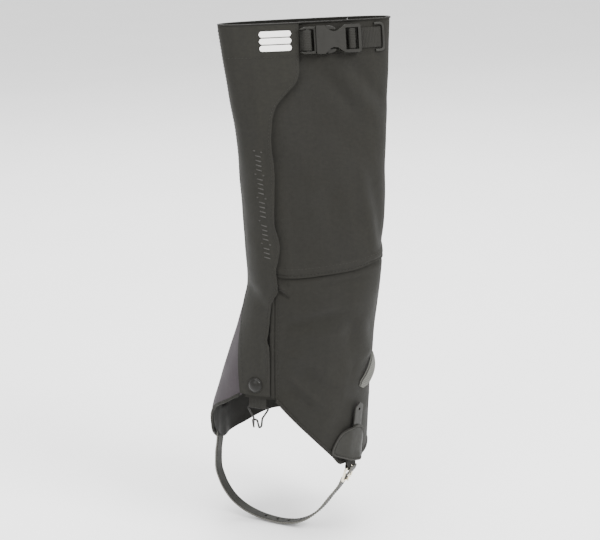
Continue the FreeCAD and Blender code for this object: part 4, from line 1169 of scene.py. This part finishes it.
def stretch(loop, first, last, count):
    """Evenly spaced places along part of a loop."""
    part = np.take(loop, np.arange(first, last + 1), axis=0, mode="wrap")
    run = run_of(part)
    at = np.linspace(0, run[-1], count)
    return np.stack([np.interp(at, run, part[:, 0]), np.interp(at, run, part[:, 1])], -1)


def shield_lift(a, z):
    middle = curve(TAIL, z)
    step = np.linalg.norm(section_point(middle + 1, z) - section_point(middle - 1, z), axis=-1)
    away = abs(a - middle) * step / 2
    rise = 4.3 + 1.9 * smooth((-440 - z) / 13)
    return 1.25 + rise * (1 - smooth((away - 6.5) / 15))


def build_shield():
    loop, columns, rows = closed_curve(SHIELD), 60, 46
    top, right = stretch(loop, 0, 60, columns), stretch(loop, 60, 160, rows)
    bottom, left = stretch(loop, 160, 280, columns), stretch(loop, 280, 400, rows)
    places = coons(left[::-1], right, top, bottom[::-1])
    a, z = places[..., 0], places[..., 1]
    i = np.minimum(np.arange(columns), np.arange(columns)[::-1])[:, None] * 0.85
    j = np.minimum(np.arange(rows), np.arange(rows)[::-1])[None, :] * 0.9
    from_edge = np.minimum(i, j)
    welt = 0.55 * smooth(1 - np.abs(from_edge - 1.0) / 1.4) - 0.25 * smooth(1 - np.abs(from_edge - 2.8) / 1.0)
    lift = shield_lift(a, z)
    outer, inner = off_sleeve(a, z, lift + 1.1 + welt), off_sleeve(a, z, lift)
    place(sheet_mesh("shield_cover", outer, inner, LOOKS["patch"], cloth_uv(places)), "sleeve", "shield_patch")

    def inside_edge(share):
        """Line round the shield at this share of its size, and the way out from it."""
        a, z = (loop.mean(0) + (loop - loop.mean(0)) * share).T
        return off_sleeve(a, z, shield_lift(a, z) + 1.25), outward_at(a, z)

    # A thin pale tube just inside the edge paints the highlight of the shield's raised edge.
    line, outward = inside_edge(0.93)
    turns = np.linspace(0, 2 * math.pi, 8, endpoint=False)
    side = np.cross(np.roll(line, -1, 0) - np.roll(line, 1, 0), outward)
    rings = tube_rings(line, 0.00042 * np.stack([np.cos(turns), np.sin(turns)], -1), side)
    faces = tube_faces(*rings.shape[:2], False)
    place(recalculate(add_mesh("shield_edge_highlight", rings.reshape(-1, 3), faces, LOOKS["pale_painted_light"])), "sleeve")
    place(stitch_mesh("shield_stitches", *inside_edge(0.86)), "sleeve")


def build_chape():
    """Folded tab from under the shield, round the buckle's bar and back."""
    bar, toe, inward = strap_axes()
    under = [(40, -430, 1.7), (39.5, -438, 1.7), (39, -447, 1.7), (38.4, -453.5, 1.8)]
    over = [(38.4, -453.5, 3.9), (39, -447, 2.8), (39.5, -438, 2.8), (40, -430, 2.8)]
    turns = [math.radians(turn) for turn in range(180, 361, 30)]
    spots = [Vector(off_sleeve(*spot)) for spot in under]
    spots += [bar + (inward * math.cos(turn) + UP * math.sin(turn)) * 1.9 * MM for turn in turns]
    spots += [Vector(off_sleeve(*spot)) for spot in over]
    path = smooth_path(spots, 120)
    round_leg = unit(section_point(38.0, -440.0) - section_point(40.0, -440.0))
    share = smooth((path[:, 2] / MM + 459) / 6)[:, None]
    across = np.array(tuple(toe))[None] * (1 - share) + round_leg[None] * share
    chape = strap_mesh("chape_tab", path, across, 0.0138, 0.0008, "patch")
    place(chape, ("sleeve", "strap", tuple(bar + UP * 0.013), tuple(bar + UP * 0.003)), "buckle_chape")
    paint("nickel", "strap_buckle", "buckle_prong")


def build_keeper():
    """Ribbed elastic loop that bows out, with a dark edge."""
    start, end, across = np.array((47.5, -375.5)), np.array((68.5, -345)), np.array((4.6, -3.6))
    rows, columns = 110, 15
    t = np.linspace(0, 1, rows)[:, None, None]
    s = np.linspace(-1, 1, columns)[None, :, None]
    taper = 1 - 0.45 * (1 - smooth(t / 0.16)) - 0.2 * smooth((t - 0.8) / 0.2)
    places = start + (end - start) * t + across * s * taper
    a, z = places[..., 0], places[..., 1]
    t, s = t[..., 0] + 0 * a, s[..., 0] + 0 * a
    bow = 0.2 + 1.8 * np.sin(math.pi * t) + 2.6 * np.sin(math.pi * t) ** 0.55 * (s + 1) / 2
    ribs = 0.3 * np.abs(np.sin(t * math.pi * 21)) * (0.5 + 0.5 * (s < -0.78))
    outer, inner = off_sleeve(a, z, bow + 1.2 + ribs), off_sleeve(a, z, bow - 0.1)
    uv = np.stack([t * 45, -6 * s], -1) * MM
    looks = [LOOKS["elastic"], LOOKS["webbing"]]
    keeper = recalculate(sheet_mesh("keeper_elastic", outer[:, ::-1], inner[:, ::-1], looks, uv[:, ::-1]))
    across_it = columns - 1
    front = (rows - 1) * across_it
    keeper.data.polygons.foreach_set("material_index", [
        int(k < front and k % across_it >= across_it - 2) for k in range(len(keeper.data.polygons))])
    place(keeper, "sleeve", "strap_keeper")


# ---- setting


def aimed(name, data, spot, turn):
    """Scene object for a lamp or the camera."""
    obj = bpy.data.objects.new(name, data)
    obj.location = spot
    obj.rotation_mode = "QUATERNION"
    obj.rotation_quaternion = turn
    bpy.context.scene.collection.objects.link(obj)
    return obj


def build_setting():
    bpy.ops.mesh.primitive_plane_add(size=40, location=(0, 6, cad_box[0].z - 0.0015))
    floor = bpy.context.active_object
    floor.name = "pale_floor"
    m = Nodes("pale_floor", 0.9, specular=0.1)
    m.colour(m.noise(m.where(), 3.0), [(0.3, (0.93, 0.93, 0.93)), (0.7, (0.95, 0.95, 0.95))])
    floor.data.materials.append(m.material)

    world = bpy.data.worlds.new("studio")
    bpy.context.scene.world = world
    world.use_nodes = True
    world.node_tree.nodes["Background"].inputs["Color"].default_value = (1, 1, 1, 1)
    world.node_tree.nodes["Background"].inputs["Strength"].default_value = 1.5

    middle = Vector((-0.013, 0, -0.26))
    lamps = [
        ((1.25, -1.5, 1.3), 0.9, 72), ((-1.6, -1.5, 0.9), 1.3, 26), ((0.2, 1.8, 1.6), 1.5, 40),
        ((0, -0.2, 2.6), 2.6, 120),
    ]
    for k, (spot, width, power) in enumerate(lamps):
        data = bpy.data.lights.new(f"softbox_{k}", "AREA")
        data.shape = "SQUARE"
        data.size = width
        data.energy = power
        aimed(data.name, data, spot, (middle - Vector(spot)).to_track_quat("-Z", "Y"))

    data = bpy.data.cameras.new("camera")
    data.sensor_width = 36
    data.lens = 94.2
    distance, azimuth, height = 1.57, math.radians(-10), 0.165
    aim = Vector((-0.0126, 0, -0.255))
    spot = Vector((aim.x + distance * math.sin(azimuth), -distance * math.cos(azimuth), height))
    forward = (aim - spot).normalized()
    roll = Matrix.Rotation(math.radians(1.7), 3, forward)
    turn = (roll @ forward.to_track_quat("-Z", "Y").to_matrix()).to_quaternion()
    bpy.context.scene.camera = aimed("camera", data, spot, turn)


build_setting()
for build in (
    build_strip, build_calf, build_guard, build_lateral, build_hems, build_rim, build_inside, build_hem_facing,
    build_buckle, build_webbing, build_exit, build_bars, build_print, build_snap, build_hook,
    build_strap, build_tail, build_shield, build_chape, build_keeper,
):
    build()
